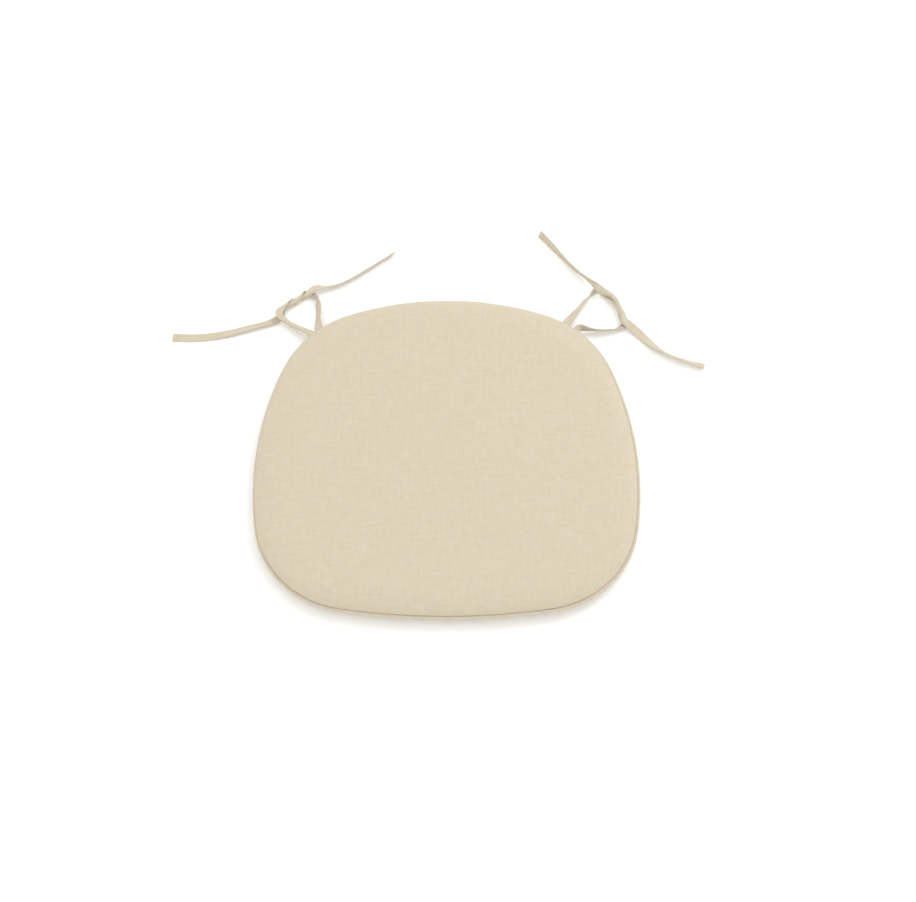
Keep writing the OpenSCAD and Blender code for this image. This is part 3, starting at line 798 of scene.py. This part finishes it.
# ==== Zip, round the back edge's own centre ====
BACK_CENTRE, BACK_ARC_R = ARCS[0, 1:3], ARCS[0, 3]
ZIP_Z = 8.9 * MM
ZIP_END_A = math.radians(19.6)
COIL_START_A, COIL_END_A = math.radians(-18.1), math.radians(17.5)
COIL_PITCH = 1.15 * MM
COIL_FILAMENT = 0.27 * MM
COIL_IN, COIL_HALF_W = 8.95 * MM, 0.66 * MM
COIL_LAP, COIL_REACH = 0.2 * MM, 1.95 * MM
COIL_POINTS = 14
SLIDER_A = math.radians(17.3)
BOTTOM_STOP_A = math.radians(-18.4)
STITCH_END_A = math.radians(19.2)
STITCH_IN = 11 * MM
STITCH_Z = 3.1 * MM
ZIP_STITCH = 3 * MM, 1 * MM, 0.27 * MM


def back_place(a, inset, z):
    """Points at directions a within the back arc, clear of where the outline starts and ends."""
    radius = BACK_ARC_R - inset
    flat = BACK_CENTRE + radius[..., None] * direction(a)
    return np.concatenate([flat, np.broadcast_to(z, a.shape)[..., None]], axis=-1)


def add_zip_tape(name, section, material, node):
    """A woven tape bent to a section of (inset, height) in mm, along the zip."""
    points = np.array(section) * MM
    a = np.linspace(-ZIP_END_A, ZIP_END_A, 150)
    along = a * BACK_ARC_R
    around = lengths_along(points)
    rings = np.empty((len(a), len(points), 3))
    for k, (inset, z) in enumerate(points):
        ripple = 0.07 * MM * np.sin(along / (5.5 * MM)) * np.sin(along / (17 * MM))
        rings[:, k] = back_place(a, inset + ripple, z)
    cloth = on_cloth(along[:, None], around[None, :])
    stand_in(sweep_piece(name, material, rings, cloth), node)


UPPER_TAPE = [
    (10, 10.35), (10.1, 10.2), (10.4, 10.2), (10.5, 10.35), (10.5, 11.4), (10.5, 12.6), (10.62, 13.35),
    (10.95, 13.68), (11.6, 13.7), (12.9, 13.7), (13, 13.8), (13, 14.1), (12.9, 14.2), (11.6, 14.2),
    (10.7, 14.15), (10.15, 13.8), (10, 13.2), (10, 12.6), (10, 11.4),
]
LOWER_TAPE = [
    (10, 7.45), (10, 6.2), (10, 5.3), (10.25, 4.85), (11, 4.45), (12.5, 3.75), (14, 3.1), (15, 2.85),
    (15.9, 2.62), (16, 2.75), (16, 3), (15.9, 3.12), (15, 3.35), (14, 3.6), (12.5, 4.25), (11.2, 4.9),
    (10.65, 5.2), (10.5, 5.6), (10.5, 6.4), (10.5, 7.45), (10.4, 7.6), (10.1, 7.6),
]


def add_coil(name, side, material, node):
    """Half of the closed zip: a nylon filament wound along its tape, its heads between the other half's."""
    length = (COIL_END_A - COIL_START_A) * BACK_ARC_R
    turns = int(length / COIL_PITCH)
    t = np.arange(turns * COIL_POINTS + 1) / COIL_POINTS
    spin = 2 * math.pi * t
    offset = 0 if side > 0 else 0.5
    a = COIL_START_A + (t + offset + 0.22 * np.sin(spin)) * COIL_PITCH / BACK_ARC_R
    inset = COIL_IN + COIL_HALF_W * np.sin(spin)
    reach = (1 - np.cos(spin)) / 2
    z = ZIP_Z + side * (-COIL_LAP + COIL_FILAMENT + (COIL_REACH - COIL_FILAMENT) * reach)
    head = COIL_FILAMENT * (1 + 0.25 * np.cos(spin).clip(0))
    path = back_place(a, inset, z)
    ahead = unit(np.gradient(path, axis=0))
    side_way = unit(np.cross(ahead, outward(a)))
    out = np.cross(side_way, ahead)
    b = np.arange(6) * math.pi / 3
    rings = path[:, None] + head[:, None, None] * (
        np.cos(b)[None, :, None] * side_way[:, None] + np.sin(b)[None, :, None] * out[:, None]
    )
    stand_in(sweep_piece(name, material, rings), node)


def add_zip_stitching(material):
    a = np.linspace(-STITCH_END_A, STITCH_END_A, 500)
    line = back_place(a, np.full(len(a), STITCH_IN), STITCH_Z)
    down = np.concatenate([0.55 * direction(a), np.full((len(a), 1), -0.83)], axis=1)
    shape = Shape()
    stitch_run(shape, line, down, *ZIP_STITCH)
    stand_in(shape.build("zip_topstitching", material), "zip_stitching")


def to_zip(points, a=SLIDER_A):
    """Points as (along the zip, out from the cover, up), in mm from the outline at a, put in place."""
    p = np.asarray(points, float) * MM
    ahead = np.array([math.cos(a), -math.sin(a), 0])
    out = np.array([math.sin(a), math.cos(a), 0])
    origin = np.append(BACK_CENTRE + BACK_ARC_R * direction(a), ZIP_Z)
    return origin + p[..., :1] * ahead + p[..., 1:2] * out + p[..., 2:3] * np.array([0, 0, 1.0])


def plate(shape, loops, y0, y1, bevel=0.18):
    """A flat metal plate with round edges: a closed outline and any holes, in mm, from depth y0 to y1."""
    curve = bpy.data.curves.new("plate", "CURVE")
    curve.dimensions, curve.fill_mode = "2D", "BOTH"
    curve.extrude, curve.bevel_depth, curve.bevel_resolution = (y1 - y0) / 2 - bevel, bevel, 2
    curve.offset = -bevel
    for loop in loops:
        spline = curve.splines.new("POLY")
        spline.points.add(len(loop) - 1)
        spline.use_cyclic_u = True
        for point, (x, z) in zip(spline.points, loop):
            point.co = (x, z, 0, 1)
    holder = bpy.data.objects.new("plate", curve)
    mesh = holder.to_mesh()
    whole = bmesh.new()
    whole.from_mesh(mesh)
    bmesh.ops.remove_doubles(whole, verts=whole.verts, dist=1e-4)
    bmesh.ops.recalc_face_normals(whole, faces=whole.faces)
    points = np.array([v.co for v in whole.verts])
    faces = [[v.index for v in f.verts] for f in whole.faces]
    if whole.calc_volume(signed=True) < 0:
        faces = [face[::-1] for face in faces]
    whole.free()
    holder.to_mesh_clear()
    bpy.data.objects.remove(holder)
    bpy.data.curves.remove(curve)
    placed = np.stack([points[:, 0], (y0 + y1) / 2 - points[:, 2], points[:, 1]], axis=-1)
    shape.add(to_zip(placed), faces)


def rounded(corners, radii, steps=5):
    """An outline through corners, each rounded off by its radius."""
    corners = np.array(corners, float)
    points = []
    for k, (corner, r) in enumerate(zip(corners, radii)):
        before = unit(corners[k - 1] - corner)
        after = unit(corners[(k + 1) % len(corners)] - corner)
        for u in np.linspace(0, 1, steps):
            points.append(corner + r * ((1 - u) ** 2 * before + u**2 * after))
    return points


def circle(x, z, r, n=24):
    return [(x + r * math.cos(b), z + r * math.sin(b)) for b in np.arange(n) * 2 * math.pi / n]


def bar(shape, path, width, thick, up=(0, 0, 1)):
    """A rounded bar along a path in the zip's own axes, in mm, width measured along up."""
    path = np.array(path, float)
    fine = [path[0]]
    for k in range(1, len(path) - 1):
        for u in np.linspace(0, 1, 5):
            near = path[k] + 0.35 * (path[k - 1] - path[k])
            far = path[k] + 0.35 * (path[k + 1] - path[k])
            fine.append((1 - u) ** 2 * near + 2 * u * (1 - u) * path[k] + u**2 * far)
    fine = np.array(fine + [path[-1]])
    up = np.array(up, float)
    side = unit(np.cross(unit(np.gradient(fine, axis=0)), up))
    b = np.arange(16) * math.pi / 8
    round_x = np.sign(np.cos(b)) * np.abs(np.cos(b)) ** 0.45
    round_y = np.sign(np.sin(b)) * np.abs(np.sin(b)) ** 0.45
    rings = fine[:, None] + (
        round_x[None, :, None] * width / 2 * up + round_y[None, :, None] * thick / 2 * side[:, None]
    )
    shape.sweep(to_zip(rings)[:, ::-1])


def add_slider(material):
    """Zip slider: shield-shaped front and back plates, guides, the wedge between them and its bridge."""
    shape = Shape()
    shield = rounded(
        [(-5.3, -2.3), (-5.3, 2.3), (-1.4, 2.35), (2.2, 2.95), (5.3, 2.95), (5.3, -2.95), (2.2, -2.95),
         (-1.4, -2.35)],
        [0.8, 0.8, 1, 1.2, 1, 1, 1.2, 1],
    )
    plate(shape, [shield], -7.4, -6.4)
    plate(shape, [shield], -11.8, -10.9)
    for side in (-1, 1):
        guide = rounded(
            [(-5.2, side * 1.72), (-1.4, side * 1.78), (2.3, side * 2.36), (5.2, side * 2.36),
             (5.2, side * 2.93), (2.2, side * 2.93), (-1.4, side * 2.33), (-5.2, side * 2.28)][::side],
            [0.15] * 8, 3,
        )
        plate(shape, [guide], -9.7, -7.3, 0.08)
    wedge = rounded([(1.5, 0), (3.6, 1.0), (5.2, 0.9), (5.2, -0.9), (3.6, -1.0)], [0.3, 0.6, 0.3, 0.3, 0.6])
    plate(shape, [wedge[::-1]], -11, -7.3, 0.1)
    bar(shape, [(-3.9, -7, 0), (-3.9, -4.35, 0), (3.9, -4.35, 0), (3.9, -7, 0)], 1.8, 0.9)
    stand_in(shape.build("zip_slider_body", material, "slider"), "zip_slider")


PULL_IN = 5.6


def add_pull(material):
    """Pull tab: a plate with an eye for its pin at one end and a hole at the other, and a raised rim."""
    shape = Shape()
    tab = rounded(
        [(0.3, -2.4), (0.3, 2.4), (-5.6, 2.4), (-9, 1.85), (-14, 1.85), (-18, 2.4), (-22, 2.4), (-22, -2.4),
         (-18, -2.4), (-14, -1.85), (-9, -1.85), (-5.6, -2.4)],
        [0.25, 0.25, 1.2, 1.2, 1.5, 1.2, 1.9, 1.9, 1.2, 1.5, 1.2, 1.2],
    )
    eye = rounded([(-0.75, -1.3), (-4.7, -1.3), (-4.7, 1.3), (-0.75, 1.3)], [0.3, 0.5, 0.5, 0.3], 4)
    hole = circle(-19, 0, 1.1)
    plate(shape, [tab, eye, hole], -PULL_IN - 0.45, -PULL_IN + 0.45, 0.16)
    rim = rounded([(-8.2, -1.05), (-8.2, 1.05), (-15, 1.05), (-15, -1.05)], [0.5] * 4)
    inner = rounded([(-8.8, -0.55), (-8.8, 0.55), (-14.4, 0.55), (-14.4, -0.55)], [0.3] * 4)
    plate(shape, [rim, inner], -PULL_IN + 0.35, -PULL_IN + 0.62, 0.08)
    bar(shape, [(0, -PULL_IN, -2.2), (0, -PULL_IN, 0), (0, -PULL_IN, 2.2)], 0.95, 0.95, (1, 0, 0))
    stand_in(shape.build("zip_pull_tab", material, "pull_tab"), "zip_pull")


def turn_back(points, angle):
    """Points turned about the back edge's centre, by an angle measured from +Y towards +X."""
    flat = points[:, :2] - BACK_CENTRE
    c, s = math.cos(angle), math.sin(angle)
    turned_flat = np.stack([flat[:, 0] * c + flat[:, 1] * s, flat[:, 1] * c - flat[:, 0] * s], axis=-1)
    return np.concatenate([BACK_CENTRE + turned_flat, points[:, 2:]], axis=1)


def add_stops(material):
    """Clamped metal stops: one on each tape at the closed end, one across both at the other."""
    shape = Shape()
    for side in (-1, 1):
        for bend in (-0.28, 0.28):
            points = [(9.7 + bend, -9.85, side * 1.35), (9.7 + bend, -8.6, side * 1.5),
                      (9.7 + bend, -8.6, side * 2.1), (9.7 + bend, -9.85, side * 2.25)]
            bar(shape, points, 0.62, 0.5, (1, 0, 0))
    stand_in(shape.build("zip_top_clamps", material), "zip_top_stops")
    shape = Shape()
    staple = rounded([(-1.1, -1.9), (-1.1, 1.9), (1.1, 1.9), (1.1, -1.9)], [0.4] * 4)
    plate(shape, [staple], -9.9, -7.8, 0.25)
    for k, part in enumerate(shape.points):
        shape.points[k] = turn_back(part, BOTTOM_STOP_A - SLIDER_A)
    stand_in(shape.build("zip_bottom_clamp", material), "zip_bottom_stop")


LABEL_START_A, LABEL_END_A = math.radians(-54.6), math.radians(-45.4)


def add_label(material):
    """A blank folded satin label that hangs from the left shoulder's seam."""
    left = np.linspace(LABEL_START_A, LABEL_END_A, 22)
    outer = np.array([(8.6, 14.1), (7, 14), (5.4, 13.7), (4.45, 13.0), (4.22, 12), (4.2, 10), (4.2, 7.5),
                      (4.2, 5), (4.22, 3.2), (4.35, 2.6), (4.47, 2.5)]) * MM
    inner = np.array([(4.62, 2.65), (4.66, 3.2), (4.68, 5), (4.68, 7.5), (4.68, 10), (4.7, 12),
                      (4.95, 12.9), (5.6, 13.35), (7, 13.65), (8.6, 13.75)]) * MM
    section = np.concatenate([outer, inner])
    share = np.linspace(-1, 1, len(left))
    rings = np.empty((len(left), len(section), 3))
    for k, (inset, z) in enumerate(section):
        hang = np.clip((13 * MM - z) / (10 * MM), 0, 1)
        curl = 0.5 * MM * hang**2 * share**2 + 0.15 * MM * hang * np.sin(4 * share)
        rings[:, k] = place(left, inset - curl, z)
    around = lengths_along(section)
    cloth = on_cloth((left * SHOULDER_R * MM)[:, None], around[None, :])
    stand_in(sweep_piece("blank_label", material, rings, cloth), "care_label")


# ==== Materials: every one is made of nodes, in metres on the flat cloth or on the part ====
class Graph:
    """A short way to write a material's nodes."""

    def __init__(self, name):
        self.material = bpy.data.materials.new(name)
        self.material.use_nodes = True
        self.tree = self.material.node_tree
        self.shader = self.tree.nodes["Principled BSDF"]

    def node(self, kind, inputs=None, **settings):
        made = self.tree.nodes.new(kind)
        for key, value in settings.items():
            setattr(made, key, value)
        for socket, value in (inputs or {}).items():
            self.set(made.inputs[socket], value)
        return made

    def set(self, socket, value):
        if isinstance(value, bpy.types.NodeSocket):
            self.tree.links.new(value, socket)
        else:
            socket.default_value = value

    def math(self, operation, *values):
        return self.node("ShaderNodeMath", dict(enumerate(values)), operation=operation).outputs[0]

    def add(self, a, b):
        return self.math("ADD", a, b)

    def times(self, a, b):
        return self.math("MULTIPLY", a, b)

    def cloth(self, turn=0.0):
        vector = self.node("ShaderNodeAttribute", attribute_name="cloth").outputs["Vector"]
        if turn:
            turned_to = self.node("ShaderNodeVectorRotate", {"Vector": vector, "Angle": turn})
            turned_to.rotation_type = "Z_AXIS"
            vector = turned_to.outputs[0]
        return vector

    def split(self, vector):
        return self.node("ShaderNodeSeparateXYZ", {0: vector}).outputs

    def join(self, x, y, z=0.0):
        return self.node("ShaderNodeCombineXYZ", {0: x, 1: y, 2: z}).outputs[0]

    def noise(self, vector, scale, detail=2.0, output=0):
        made = self.node("ShaderNodeTexNoise", {"Vector": vector, "Scale": scale, "Detail": detail})
        return made.outputs[output]

    def cells(self, vector, scale, feature="F1"):
        made = self.node("ShaderNodeTexVoronoi", {"Vector": vector, "Scale": scale}, feature=feature)
        return made.outputs["Distance"]

    def between(self, value, low, high, to_low=0.0, to_high=1.0):
        inputs = {0: value, 1: low, 2: high, 3: to_low, 4: to_high}
        return self.node("ShaderNodeMapRange", inputs).outputs[0]

    def mix(self, factor, a, b, blend="MIX"):
        inputs = {0: factor, 6: a, 7: b}
        return self.node("ShaderNodeMix", inputs, data_type="RGBA", blend_type=blend).outputs[2]

    def ramp(self, factor, *stops):
        made = self.node("ShaderNodeValToRGB", {0: factor})
        made.color_ramp.elements[0].position, made.color_ramp.elements[0].color = stops[0]
        made.color_ramp.elements[1].position, made.color_ramp.elements[1].color = stops[-1]
        for position, colour in stops[1:-1]:
            made.color_ramp.elements.new(position).color = colour
        return made.outputs[0]

    def finish(self, colour, roughness, height, depth, **constants):
        """Links colour, roughness and a bump of that depth in metres; constants go on the shader itself."""
        self.set(self.shader.inputs["Base Color"], colour)
        self.set(self.shader.inputs["Roughness"], roughness)
        bump = self.node("ShaderNodeBump", {"Height": height, "Distance": depth, "Strength": 1.0})
        self.set(self.shader.inputs["Normal"], bump.outputs[0])
        for name, value in constants.items():
            self.shader.inputs[name.replace("_", " ")].default_value = value
        return self.material


def tint(red, green, blue):
    """A colour given as screen values from 0 to 255."""
    return tuple((c / 255 / 12.92 if c <= 10 else ((c / 255 + 0.055) / 1.055) ** 2.4)
                 for c in (red, green, blue)) + (1.0,)


LINEN_THREAD = 0.7 * MM
LINEN_PALE = tint(209, 198, 180)
LINEN_BASE = tint(199, 188, 167)
LINEN_FLAX = tint(185, 170, 144)
LINEN_ROSE = tint(203, 186, 170)
LINEN_STRAW = tint(197, 191, 162)


def linen(name, turn=0.0):
    """Plain-woven linen: uneven threads over and under each other, slubs, and a heathered tone."""
    g = Graph(name)
    cloth = g.cloth(turn)
    drift = g.split(g.noise(cloth, 60.0, output="Color"))
    x, y, layer = g.split(cloth)
    warp = g.add(g.times(x, 1 / LINEN_THREAD), g.times(drift[0], 2.4))
    weft = g.add(g.times(y, 1 / LINEN_THREAD), g.times(drift[1], 2.4))
    across_warp, across_weft = (g.math("SINE", g.times(t, math.pi)) for t in (warp, weft))
    on_top = g.math("GREATER_THAN", g.times(across_warp, across_weft), 0.0)
    warp_round, weft_round = (g.math("ABSOLUTE", t) for t in (across_warp, across_weft))
    warp_up = g.times(g.math("SQRT", warp_round), g.between(weft_round, 0, 1, 0.55, 1))
    weft_up = g.times(g.math("SQRT", weft_round), g.between(warp_round, 0, 1, 0.55, 1))
    height = g.add(g.times(on_top, warp_up), g.times(g.math("SUBTRACT", 1.0, on_top), weft_up))

    def thread_tone(crossing, along):
        own = g.times(g.math("FLOOR", crossing), 1.37)
        slub = g.noise(g.join(own, g.times(along, 110.0), layer), 1.0, 3.0)
        long_tone = g.noise(g.join(own, g.times(along, 24.0), 7.0), 1.0, 1.0)
        return g.add(g.times(slub, 0.75), g.times(long_tone, 0.25))

    tone = g.node("ShaderNodeMix", {0: on_top, 2: thread_tone(weft, x), 3: thread_tone(warp, y)}).outputs[0]
    threads = g.ramp(tone, (0.30, LINEN_FLAX), (0.46, LINEN_BASE), (0.56, LINEN_BASE), (0.72, LINEN_PALE))
    patchy = g.between(g.noise(cloth, 85.0, 3.0), 0.35, 0.65)
    mottled = g.mix(patchy, LINEN_ROSE, LINEN_STRAW)
    streaks = g.noise(g.join(g.times(x, 260.0), g.times(y, 60.0), layer), 1.0, 2.0)
    weft_streaks = g.noise(g.join(g.times(x, 60.0), g.times(y, 260.0), layer), 1.0, 2.0)
    shade = g.between(g.add(streaks, weft_streaks), 0.7, 1.3, 0.965, 1.03)
    colour = g.mix(0.45, threads, mottled)
    colour = g.mix(1.0, colour, g.join(shade, shade, shade), "MULTIPLY")
    # Darker where the weave lies low between its threads: painted shade in the weave's hollows.
    weave_hollow_shade = g.between(height, 0.0, 0.55, 0.84, 1.0)
    colour = g.mix(1.0, colour, g.join(weave_hollow_shade, weave_hollow_shade, weave_hollow_shade), "MULTIPLY")
    fuzz = g.noise(cloth, 5200.0, 3.0)
    relief = g.add(g.add(height, g.times(fuzz, 0.35)), g.times(tone, 0.9))
    roughness = g.between(g.add(fuzz, tone), 0.6, 1.4, 0.94, 0.78)
    return g.finish(
        colour, roughness, relief, 0.16 * MM,
        Sheen_Weight=0.18, Sheen_Roughness=0.45, Specular_IOR_Level=0.25,
    )


def twisted_thread(name, dark, pale, twist, ply_depth):
    """Spun yarn: plies that wind round it, with loose fibres."""
    g = Graph(name)
    x, y, _ = g.split(g.cloth())
    wind = g.math("SINE", g.add(g.times(x, 2 * math.pi / twist), g.times(y, 4500.0)))
    fibres = g.noise(g.join(g.times(x, 900.0), g.times(y, 6000.0)), 1.0, 3.0)
    height = g.add(g.between(wind, -1, 1), g.times(fibres, 0.5))
    # The colour follows the height: darker in the grooves between the plies, which is painted shade.
    colour = g.ramp(height, (0.25, dark), (1.1, pale))
    return g.finish(colour, g.between(fibres, 0.3, 0.7, 0.9, 0.7), height, ply_depth, Sheen_Weight=0.15)


def cotton():
    g = Graph("cotton_strands")
    place_at = g.cloth()
    fibres = g.noise(place_at, 2600.0, 4.0)
    lumps = g.noise(place_at, 300.0, 2.0)
    colour = g.ramp(fibres, (0.3, tint(214, 208, 192)), (0.7, tint(240, 236, 224)))
    height = g.add(fibres, g.times(lumps, 0.6))
    return g.finish(colour, g.between(lumps, 0.3, 0.7, 0.95, 0.82), height, 0.12 * MM, Sheen_Weight=0.2)


def foam():
    """Open-celled foam: pores of uneven size in a pale cream block."""
    g = Graph("open_cell_foam")
    place_at = g.cloth()
    pores = g.cells(place_at, 900.0)
    large = g.cells(place_at, 330.0)
    height = g.add(g.math("POWER", pores, 0.6), g.times(large, 0.5))
    # Darkest at the pores' middles: painted shade inside the open cells.
    colour = g.ramp(
        pores, (0.05, tint(196, 184, 142)), (0.35, tint(238, 230, 198)), (0.9, tint(246, 240, 214))
    )
    worn = g.between(g.noise(place_at, 22.0, 3.0), 0.3, 0.7)
    colour = g.mix(g.times(worn, 0.35), colour, tint(231, 217, 172))
    return g.finish(colour, g.between(pores, 0.0, 0.8, 0.98, 0.85), height, 0.3 * MM, Sheen_Weight=0.1)


def wadding():
    """Polyester wadding: crossing fibres and soft lumps."""
    g = Graph("polyester_wadding")
    place_at = g.cloth()
    bend = g.noise(place_at, 70.0, 2.0, "Color")
    wandering = g.node("ShaderNodeMix", {0: 0.02, 4: place_at, 5: bend}, data_type="VECTOR").outputs[1]
    x, y, z = g.split(wandering)
    one_way = g.noise(g.join(g.times(x, 3000.0), g.times(y, 260.0), g.times(z, 900.0)), 1.0, 3.0)
    other_way = g.noise(g.join(g.times(x, 260.0), g.times(y, 3000.0), g.times(z, 900.0)), 1.0, 3.0)
    fibres = g.math("MAXIMUM", one_way, other_way)
    lumps = g.noise(place_at, 140.0, 3.0)
    colour = g.ramp(fibres, (0.4, tint(216, 216, 210)), (0.72, tint(246, 246, 243)))
    height = g.add(fibres, g.times(lumps, 1.4))
    return g.finish(colour, g.between(lumps, 0.3, 0.7, 0.97, 0.86), height, 0.35 * MM, Sheen_Weight=0.3)


def zip_tape():
    """Polyester tape in a herringbone twill."""
    g = Graph("zip_tape_twill")
    x, y, _ = g.split(g.cloth())
    stripe = g.math("PINGPONG", g.times(y, 1 / (1.1 * MM)), 1.0)
    twill = g.math("SINE", g.times(g.add(g.times(x, 1 / (0.55 * MM)), g.times(stripe, 1.6)), 2 * math.pi))
    ribs = g.math("ABSOLUTE", g.math("SINE", g.times(x, math.pi / (0.28 * MM))))
    height = g.add(g.between(twill, -1, 1), g.times(ribs, 0.4))
    worn = g.noise(g.join(g.times(x, 150.0), g.times(y, 600.0)), 1.0, 2.0)
    # Half of the colour follows the twill's height, darker in its hollows as painted shade; the other half
    # is a random worn tone.
    colour = g.ramp(g.add(g.times(height, 0.5), g.times(worn, 0.5)),
                    (0.2, tint(178, 164, 140)), (0.85, tint(212, 200, 178)))
    return g.finish(colour, g.between(worn, 0.3, 0.7, 0.82, 0.66), height, 0.12 * MM, Sheen_Weight=0.1)


def nylon():
    """The coil's drawn nylon: slightly glossy, with faint draw lines."""
    g = Graph("zip_nylon")
    place_at = g.cloth()
    lines = g.noise(place_at, 4000.0, 2.0)
    tone = g.noise(place_at, 220.0, 2.0)
    colour = g.ramp(tone, (0.35, tint(201, 187, 162)), (0.65, tint(216, 204, 182)))
    return g.finish(colour, g.between(lines, 0.3, 0.7, 0.3, 0.48), lines, 0.03 * MM, Coat_Weight=0.1)


def metal():
    """Nickel-plated zip metal: cast grain, fine scratches and duller, rubbed patches."""
    g = Graph("zip_nickel")
    place_at = g.cloth()
    grain = g.noise(place_at, 3500.0, 3.0)
    rubbed = g.noise(place_at, 420.0, 3.0)
    x, y, z = g.split(place_at)
    scratches = g.noise(g.join(g.times(x, 700.0), g.times(y, 700.0), g.times(z, 16000.0)), 1.0, 2.0)
    colour = g.ramp(rubbed, (0.35, tint(176, 174, 170)), (0.65, tint(208, 207, 205)))
    rough = g.between(g.add(rubbed, g.times(scratches, 0.5)), 0.5, 1.0, 0.42, 0.24)
    height = g.add(g.times(grain, 0.5), scratches)
    return g.finish(colour, rough, height, 0.02 * MM, Metallic=1.0)


def label_satin():
    """Blank white satin ribbon: fine lengthwise threads with a soft shine."""
    g = Graph("label_satin")
    x, y, _ = g.split(g.cloth())
    fine = g.math("ABSOLUTE", g.math("SINE", g.times(x, math.pi / (0.22 * MM))))
    floats = g.noise(g.join(g.times(x, 4500.0), g.times(y, 500.0)), 1.0, 2.0)
    colour = g.ramp(floats, (0.3, tint(226, 225, 221)), (0.7, tint(244, 244, 241)))
    height = g.add(fine, floats)
    return g.finish(colour, g.between(floats, 0.3, 0.7, 0.5, 0.34), height, 0.05 * MM, Sheen_Weight=0.2)


# ==== Stage: pale floor, even soft light, a key from the back right and a faint warm fill ====
FLOOR_R = 7.0
FLOOR_SIDES = 96
FLOOR_GAP = 0.1 * MM
LIGHT_LEVEL = 1.2
# Lamps as (name, place, size, power, colour)
LAMPS = [
    ("key", (1.3, 1.1, 1.9), 1.2, 16, (1.0, 1.0, 1.0)),
    ("warm_fill", (-1.6, -1.2, 1.4), 1.4, 3, (1.0, 0.86, 0.66)),
]


def add_floor():
    g = Graph("pale_floor")
    grain = g.noise(g.cloth(), 30.0, 2.0)
    material = g.finish(g.ramp(grain, (0.3, tint(249, 249, 249)), (0.7, tint(251, 251, 251))),
                        g.between(grain, 0.3, 0.7, 0.95, 0.9), grain, 0.01 * MM, Specular_IOR_Level=0.1)
    mesh = bpy.data.meshes.new("floor")
    rim = np.arange(FLOOR_SIDES) * 2 * math.pi / FLOOR_SIDES
    points = np.stack([FLOOR_R * np.cos(rim), FLOOR_R * np.sin(rim), 0 * rim - FLOOR_GAP], axis=-1)
    mesh.from_pydata(points.tolist(), [], [list(range(FLOOR_SIDES))])
    cloth = mesh.attributes.new("cloth", "FLOAT_VECTOR", "POINT")
    cloth.data.foreach_set("vector", points.astype(np.float32).ravel())
    mesh.materials.append(material)
    floor = bpy.data.objects.new("floor", mesh)
    scene.collection.objects.link(floor)


def add_lamp(name, location, size, power, colour):
    data = bpy.data.lights.new(name, "AREA")
    data.shape = "DISK"
    data.size, data.energy, data.color = size, power, colour
    lamp = bpy.data.objects.new(name, data)
    lamp.location = location
    aim = -np.array(location)
    lamp.rotation_euler = (
        math.atan2(math.hypot(aim[0], aim[1]), -aim[2]), 0, math.atan2(aim[1], aim[0]) - math.pi / 2
    )
    scene.collection.objects.link(lamp)


def add_light():
    world = bpy.data.worlds.new("studio")
    world.use_nodes = True
    background = world.node_tree.nodes["Background"]
    background.inputs[0].default_value = (1.0, 1.0, 1.0, 1.0)
    background.inputs[1].default_value = LIGHT_LEVEL
    scene.world = world
    for lamp in LAMPS:
        add_lamp(*lamp)
    scene.view_settings.view_transform = "Standard"


# ==== The object ====
def build_pad():
    cover_linen = linen("linen")
    tie_linen = linen("tie_linen")
    piping_linen = linen("piping_linen", math.pi / 4)
    sewing = twisted_thread("sewing_thread", tint(176, 160, 132), tint(222, 210, 187), 0.8 * MM, 0.05 * MM)
    nickel, coil_nylon, tape_twill = metal(), nylon(), zip_tape()
    for name in TIES:
        add_tie(name, tie_linen, sewing)
    cover = Cover()
    add_top_panel(cover, cover_linen)
    add_underside_panel(cover, cover_linen)
    add_top_wadding(cover, wadding())
    add_under_wadding(bpy.data.materials["polyester_wadding"])
    add_foam(foam())
    add_piping(piping_linen)
    add_piping_cord(cotton())
    add_seam_stitching(sewing)
    add_zip_tape("zip_upper_tape", UPPER_TAPE, tape_twill, "zip_tape_upper")
    add_zip_tape("zip_lower_tape", LOWER_TAPE, tape_twill, "zip_tape_lower")
    add_coil("zip_upper_coil", 1, coil_nylon, "zip_coil_upper")
    add_coil("zip_lower_coil", -1, coil_nylon, "zip_coil_lower")
    add_zip_stitching(sewing)
    add_slider(nickel)
    add_pull(nickel)
    add_stops(nickel)
    add_label(label_satin())


add_camera()
build_pad()
add_floor()
add_light()
